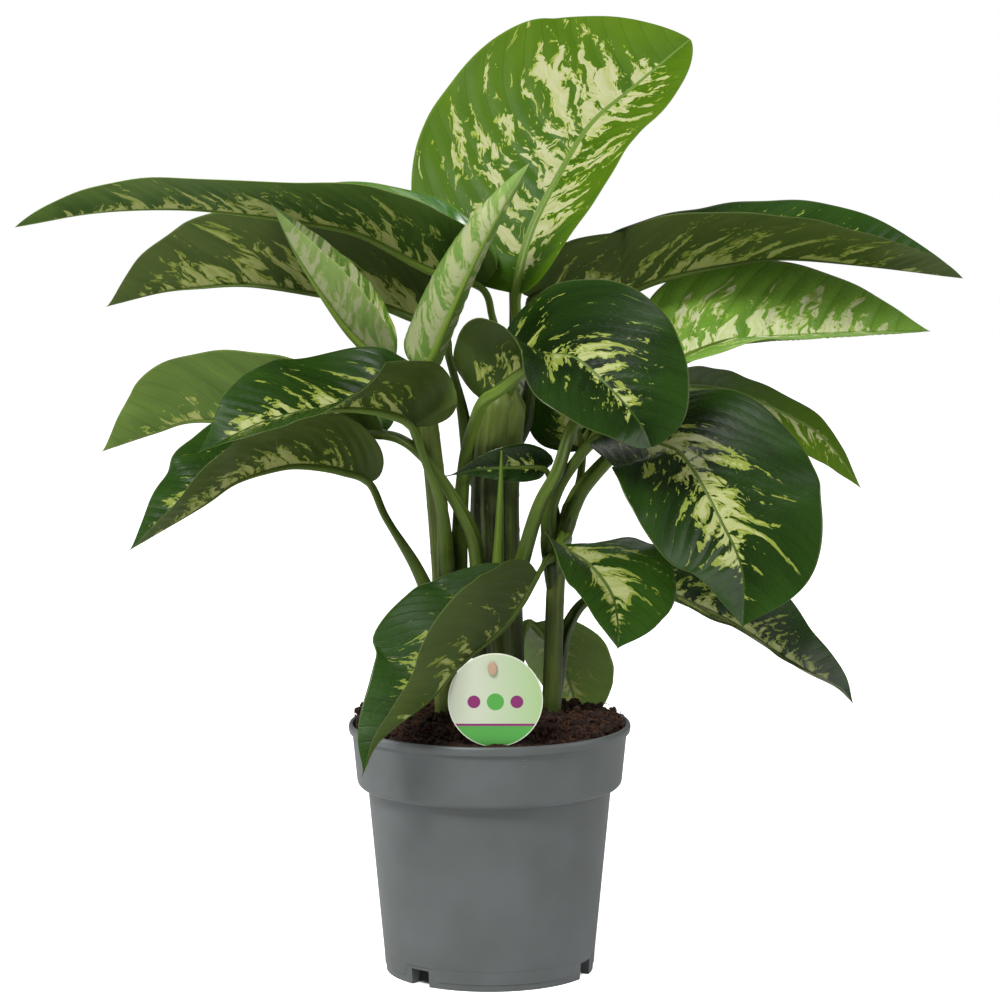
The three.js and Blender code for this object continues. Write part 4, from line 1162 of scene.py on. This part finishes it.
def surfaceSpot(draw, outer):
    radius = outer * math.sqrt(draw.uniform(0, 1))
    angle = draw.uniform(0, 2 * math.pi)
    x, y = radius * math.cos(angle), radius * math.sin(angle)
    return x, y, float(soilHeight(radius, angle)) + roughHeight(x, y)


def nearLabel(place):
    fromCentre = abs(place[0] - label["centre"][0])
    return fromCentre < label["radius"] + label["clearance"] and place[1] < label["clearBefore"]


# Each crumb is an icosahedron, its corners pushed in and out and its whole flattened and turned.
def buildCrumbs(peat, draw):
    golden = (1 + math.sqrt(5)) / 2
    corners = [(0, s, t * golden) for s in (-1, 1) for t in (-1, 1)]
    corners = corners + [(y, z, x) for x, y, z in corners] + [(z, x, y) for x, y, z in corners]
    corners = np.array(corners)
    gaps = np.linalg.norm(corners[:, None] - corners, axis=-1)
    near = np.abs(gaps - 2) < 0.01
    faces = [
        [i, j, k]
        for i in range(12) for j in range(i + 1, 12) for k in range(j + 1, 12)
        if near[i, j] and near[j, k] and near[i, k]
    ]
    for face in faces:
        a, b, c = corners[face]
        if np.dot(np.cross(b - a, c - a), a) < 0:
            face.reverse()
    corners = corners / np.linalg.norm(corners[0])
    small, large = crumbs["size"]
    pieces = []
    for i in range(crumbs["count"]):
        size = draw.uniform(0, 1) ** crumbs["sizeBias"] * (large - small) + small
        centre = np.array(surfaceSpot(draw, crumbs["within"])) + [0, 0, crumbs["lift"] * size]
        if nearLabel(centre):
            continue
        shape = corners * draw.uniform(*crumbs["cornerSpread"], (12, 1))
        shape = shape * [1, draw.uniform(*crumbs["width"]), draw.uniform(*crumbs["flatness"])]
        axes = np.linalg.qr(draw.normal(size=(3, 3)))[0]
        if np.linalg.det(axes) < 0:
            axes[0] *= -1
        pieces.append(centre + size * shape @ axes)
    faces = [face for i in range(len(pieces)) for face in shifted(faces, 12 * i)]
    dress(addPiece("peatCrumbs", np.vstack(pieces), faces, [peat]), "peat")


def buildFibres(coir, draw):
    knots, reach = fibres["knots"], fibres["reach"]
    points, faces = [], []
    start = 0
    for i in range(fibres["count"]):
        x, y, z = surfaceSpot(draw, fibres["within"])
        if nearLabel((x, y)):
            continue
        heading = draw.uniform(0, 2 * math.pi)
        length = draw.uniform(*fibres["length"])
        arch = draw.uniform(*fibres["arch"])
        centres = []
        for step in range(knots):
            height = z + fibres["lift"] + arch * math.sin(math.pi * step / (knots - 1))
            centres.append([x, y, height])
            heading += draw.uniform(-fibres["wander"], fibres["wander"])
            x += math.cos(heading) * length / knots
            y += math.sin(heading) * length / knots
            radius = math.hypot(x, y)
            if radius > reach:
                x *= reach / radius
                y *= reach / radius
            z = float(soilHeight(min(radius, reach - 2), math.atan2(y, x))) + roughHeight(x, y)
        centres = np.array(centres)
        along = unit(np.gradient(centres, axis=0))
        upward = squareTo(along, np.tile([0.02, 0.01, 1.0], (knots, 1)))
        thinned = 1 - fibres["thinEnds"] * np.linspace(-1, 1, knots) ** 2
        radii = np.repeat(draw.uniform(*fibres["radius"]) * thinned[:, None], fibres["sides"], axis=1)
        shell, shellFaces, _ = tubeShell(centres, np.cross(along, upward), upward, radii)
        points.append(shell)
        faces.extend(shifted(shellFaces, start))
        start += len(shell)
    dress(addPiece("coirFibres", np.vstack(points), faces, [coir]), "peat")


# Peat and coir, damp and loose: nearly black brown with red-brown crumbs and orange fibres, no gloss.
soilLooks = {
    "dampPeat": {"deep": "#0d0805", "light": "#3e2416", "grainSize": 2.6, "roughness": 0.95},
    "coirFibre": {"deep": "#2a160c", "light": "#6a4428", "grainSize": 12, "roughness": 0.85},
}
grainSpan = [0.35, 0.72]


def soilMaterial(name, look):
    material, tree, shader = startMaterial(name, {"Roughness": look["roughness"], "IOR": 1.4})
    spot = addNode(tree, "TexCoord").outputs["Object"]
    grain = {"Vector": spot, "Scale": 1000 / look["grainSize"], "Detail": 4.0}
    grain = addNode(tree, "TexNoise", inputs=grain)
    colour = layOver(tree, look["deep"], look["light"], grain, *grainSpan)
    bump = addNode(tree, "Bump", inputs={"Strength": 0.8, "Distance": 0.8 * mm, "Height": grain})
    setInputs(tree, shader, {"Base Color": colour, "Normal": bump})
    return material


# Label

label = {
    "centre": [4, -86.4, 199], "radius": 31, "thickness": 1, "edge": 0.3, "sides": 160, "sharp": 50,
    "clearance": 3, "clearBefore": -78,
}
# The stake is a flat strip behind the label, given by the height and width of its rings, and its
# pin goes through the label.
stake = {
    "width": 7, "thickness": 1.6, "corner": 0.6, "gap": 0.3, "sharp": 40,
    "rings": [[138, 0.3], [148, 1], [225, 1], [226, 0.8]],
}
pin = {
    "place": [2, 220], "radius": 2.2, "headRadius": 3.6, "headThickness": 1.6, "into": 1,
    "squash": [0.85, 1.2, 1], "sides": 40,
}


# Turns a shape about +Z so that it looks towards -Y, and moves it to its place.
def faceFront(points, place):
    turned = np.stack([points[:, 0], -points[:, 2], points[:, 1]], -1)
    return turned + np.array(place, float)


def buildLabel(printed, beige):
    radius, half, edge = label["radius"], label["thickness"] / 2, label["edge"]
    corners = [[0, -half, 0], [radius, -half, edge], [radius, half, edge], [0, half, 0]]
    points, faces = lathe(splitLong(roundCorners(corners, 4), 6), label["sides"])
    placed = faceFront(points, label["centre"])
    fields = {"face": points}
    piece = addPiece("plantLabel", placed, faces, [printed], fields=fields, sharp=label["sharp"])
    dress(piece, "label_plastic", "label_disc")

    middle = label["centre"][1]
    back = middle + half + stake["gap"]
    front = middle - half - stake["gap"] - pin["headThickness"]
    pinX, pinZ = pin["place"]
    width, thick = stake["width"] / 2, stake["thickness"]
    section = [[-width, back], [width, back], [width, back + thick], [-width, back + thick]]
    section = roundLoop(section, stake["corner"], 4)
    middle = section.mean(axis=0)
    rings = []
    for height, scale in stake["rings"]:
        x, y = (middle + (section - middle) * scale).T
        rings.append(np.column_stack([x + pinX, y, np.full(len(x), height)]))
    strip = np.vstack([*rings, rings[0].mean(axis=0), rings[-1].mean(axis=0)])
    faces = closedFaces(len(rings), len(section))

    depth = back + pin["into"] - front
    thin, wide, head = pin["radius"], pin["headRadius"], pin["headThickness"]
    profile = [
        [0, -depth, 0], [thin, -depth, 0.2], [thin, -head, 0.2], [wide, -head, 0.5], [wide, 0, 0.8],
        [0, 0, 0],
    ]
    points, pinFaces = lathe(roundCorners(profile, 5), pin["sides"])
    points = faceFront(points * pin["squash"], (pinX, front, pinZ))
    faces = faces + shifted(pinFaces, len(strip))
    piece = addPiece("labelStake", np.vstack([strip, points]), faces, [beige], sharp=stake["sharp"])
    dress(piece, "stake_plastic", "label_stake")


def roundLoop(corners, reach, steps):
    wrapped = [corners[-1], *corners, corners[0]]
    rounded = roundCorners([[*c, reach] for c in wrapped], steps)
    return rounded[1:-1]


# Polypropylene film, printed: a pale green ground with a plain band and dots in green and violet,
# an even sheen over the print. Places on its face are in millimetres from the middle.
printedFilm = {
    "ground": "#c0c7b1", "shade": "#9ebc83", "shadeAcross": [-12.0, 30.0], "roughness": 0.35,
    "rim": "#d6dcc6", "rimFrom": 30.3, "green": "#4a9c3e", "violet": "#7c1c60", "softEdge": 0.1,
    "bands": [{"from": -40, "to": -17, "tint": "green"}, {"from": -17, "to": -15.4, "tint": "violet"}],
    "dots": [
        {"centre": (-14, -1, 0), "radius": 4.2, "tint": "violet"},
        {"centre": (0, -1, 0), "radius": 5.6, "tint": "green"},
        {"centre": (14, -1, 0), "radius": 4.2, "tint": "violet"},
    ],
}


def labelMaterial(look):
    skin = {"Roughness": look["roughness"], "IOR": 1.49}
    material, tree, shader = startMaterial("printedFilm", skin)
    face = addNode(tree, "Attribute", {"attribute_name": "face"}).outputs["Vector"]
    x, height, _ = addNode(tree, "SeparateXYZ", inputs=[face]).outputs
    colour = layOver(tree, look["ground"], look["shade"], x, *look["shadeAcross"])
    prints = []
    for band in look["bands"]:
        middle, half = (band["from"] + band["to"]) / 2, (band["to"] - band["from"]) / 2
        away = addNode(tree, "Math", "SUBTRACT", [height, middle])
        prints.append((addNode(tree, "Math", "ABSOLUTE", [away]), half, band["tint"]))
    flat = addNode(tree, "VectorMath", "MULTIPLY", [face, (1, 1, 0)])
    for dot in look["dots"]:
        away = addNode(tree, "VectorMath", "DISTANCE", [flat, dot["centre"]])
        prints.append((away, dot["radius"], dot["tint"]))
    soft = look["softEdge"]
    for away, reach, tint in prints:
        colour = layOver(tree, colour, look[tint], away, reach + soft, reach - soft)
    away = addNode(tree, "VectorMath", "LENGTH", [flat])
    rim = look["rimFrom"]
    colour = layOver(tree, colour, look["rim"], away, rim - soft, rim + soft)
    setInputs(tree, shader, {"Base Color": colour})
    return material


# Polyamide, injection moulded, undyed: an even beige with a dull sheen and slight clouds of tone.
beigeNylon = {"base": "#b5967c", "roughness": 0.4, "cloudSize": 10 / 3, "cloudTone": [0.88, 1.05]}


def nylonMaterial(look):
    material, tree, shader = startMaterial("beigeNylon", {"Roughness": look["roughness"]})
    spot = addNode(tree, "TexCoord").outputs["Object"]
    clouds = {"Vector": spot, "Scale": 1000 / look["cloudSize"], "Detail": 2.0}
    clouds = addNode(tree, "TexNoise", inputs=clouds)
    shade = addNode(tree, "MapRange", inputs=[clouds, 0.0, 1.0, *look["cloudTone"]])
    tint = addNode(tree, "HueSaturation", inputs={"Color": look["base"], "Value": shade})
    setInputs(tree, shader, {"Base Color": tint})
    return material


# Build

# The upper and lower side of each look.
leafSides = {
    "crown": ("waxyCrownLeaf", "matteUndersideBright"),
    "bright": ("waxyBrightLeaf", "matteUndersideBright"),
    "dark": ("waxyDarkLeaf", "matteUndersideDark"),
    "young": ("waxyBrightLeaf", "youngRolledLeaf"),
}
leafMaterials = {name: leafMaterial(name, look) for name, look in leafLooks.items()}
stalkSkin, caneBark = (stemMaterial(name, look) for name, look in stemLooks.items())
faceCount = 0
for name, leaf in leaves.items():
    sides = [leafMaterials[side] for side in leafSides[leaf["look"]]]
    faceCount += buildLeaf(name, {**usualLeaf, **leaf}, [*sides, stalkSkin])
print("leaves built:", len(leaves), "with", faceCount, "faces")

for name, cane in canes.items():
    buildCane(name, cane, caneBark)
buildSpear(stalkSkin)
print("canes built:", len(canes))

buildPot(potMaterial(mouldedPolypropylene))
print("pot built")

peat, coir = (soilMaterial(name, look) for name, look in soilLooks.items())
draw = np.random.default_rng(soil["seed"])
buildSoil(peat)
buildCrumbs(peat, draw)
buildFibres(coir, draw)
print("soil built:", crumbs["count"], "crumbs and", fibres["count"], "fibres")

buildLabel(labelMaterial(printedFilm), nylonMaterial(beigeNylon))
print("label built")


# Studio: a pale floor, a soft light above the front, and weaker ones at the sides

lamps = {
    "keyLamp": {"place": (-0.9, -1.6, 2.3), "size": 0.8, "power": 78},
    "topLamp": {"place": (0.1, -0.25, 2.6), "size": 0.7, "power": 8},
    "leftLamp": {"place": (-2.4, 0.2, 1.2), "size": 1.6, "power": 20},
    "rightLamp": {"place": (2.4, -0.6, 1.4), "size": 1.6, "power": 24},
    "backLamp": {"place": (0.2, 2.2, 2.2), "size": 1.6, "power": 6},
}
target = Vector((0, 0, 0.33))
for name, lamp in lamps.items():
    light = bpy.data.lights.new(name, "AREA")
    light.shape = "SQUARE"
    light.size = lamp["size"]
    light.energy = lamp["power"]
    rig = bpy.data.objects.new(name, light)
    rig.location = lamp["place"]
    rig.rotation_euler = (target - rig.location).to_track_quat("-Z", "Y").to_euler()
    bpy.context.scene.collection.objects.link(rig)

# The room is white to the camera and gives little light, so that the gloss comes from the lamps.
roomLight = {"seen": 1.0, "glossy": 0.12, "other": 0.2}
world = bpy.data.worlds.new("studio")
world.use_nodes = True
bpy.context.scene.world = world
room = world.node_tree
ray = addNode(room, "LightPath").outputs
strength = [ray["Is Glossy Ray"], 0.0, 1.0, roomLight["other"], roomLight["glossy"]]
strength = addNode(room, "MapRange", inputs=strength)
strength = [ray["Is Camera Ray"], 0.0, 1.0, strength, roomLight["seen"]]
strength = addNode(room, "MapRange", inputs=strength)
setInputs(room, room.nodes["Background"], {"Color": "#ffffff", "Strength": strength})

# Pale paper. Its glow makes it white to the camera, lights the plant a little, and stops short of
# the pot's foot.
paper = {"halfSize": 5, "shade": "#dadada", "roughness": 0.9, "glow": 0.12, "covered": [62, 68]}
corner = paper["halfSize"]
floorMesh = bpy.data.meshes.new("floor")
floorCorners = [(-corner, -corner, 0), (corner, -corner, 0), (corner, corner, 0), (-corner, corner, 0)]
floorMesh.from_pydata(floorCorners, [], [[0, 1, 2, 3]])
floor = bpy.data.objects.new("floor", floorMesh)
bpy.context.scene.collection.objects.link(floor)
skin = {"Roughness": paper["roughness"], "Base Color": paper["shade"], "Emission Color": "#ffffff"}
floorMaterial, floorTree, floorShader = startMaterial("palePaper", skin)
seen = addNode(floorTree, "LightPath").outputs["Is Camera Ray"]
fromAxis = addNode(floorTree, "TexCoord").outputs["Object"]
fromAxis = addNode(floorTree, "VectorMath", "LENGTH", [fromAxis])
outside = [fromAxis, *[reach * mm for reach in paper["covered"]]]
outside = addNode(floorTree, "MapRange", inputs=outside)
glow = addNode(floorTree, "MapRange", inputs=[seen, 0.0, 1.0, paper["glow"], outside])
setInputs(floorTree, floorShader, {"Emission Strength": glow})
floorMesh.materials.append(floorMaterial)

view = {"distance": 2600, "right": 7, "height": 648, "pitchDown": 7.2, "lens": 140.94, "sensor": 36}
camera = bpy.data.objects.new("camera", bpy.data.cameras.new("camera"))
camera.data.sensor_width = view["sensor"]
camera.data.lens = view["lens"]
camera.location = Vector((view["right"], -view["distance"], view["height"])) * mm
camera.rotation_euler = (math.radians(90 - view["pitchDown"]), 0, 0)
bpy.context.scene.collection.objects.link(camera)
bpy.context.scene.camera = camera
bpy.context.scene.view_settings.view_transform = "Standard"
print("studio built")
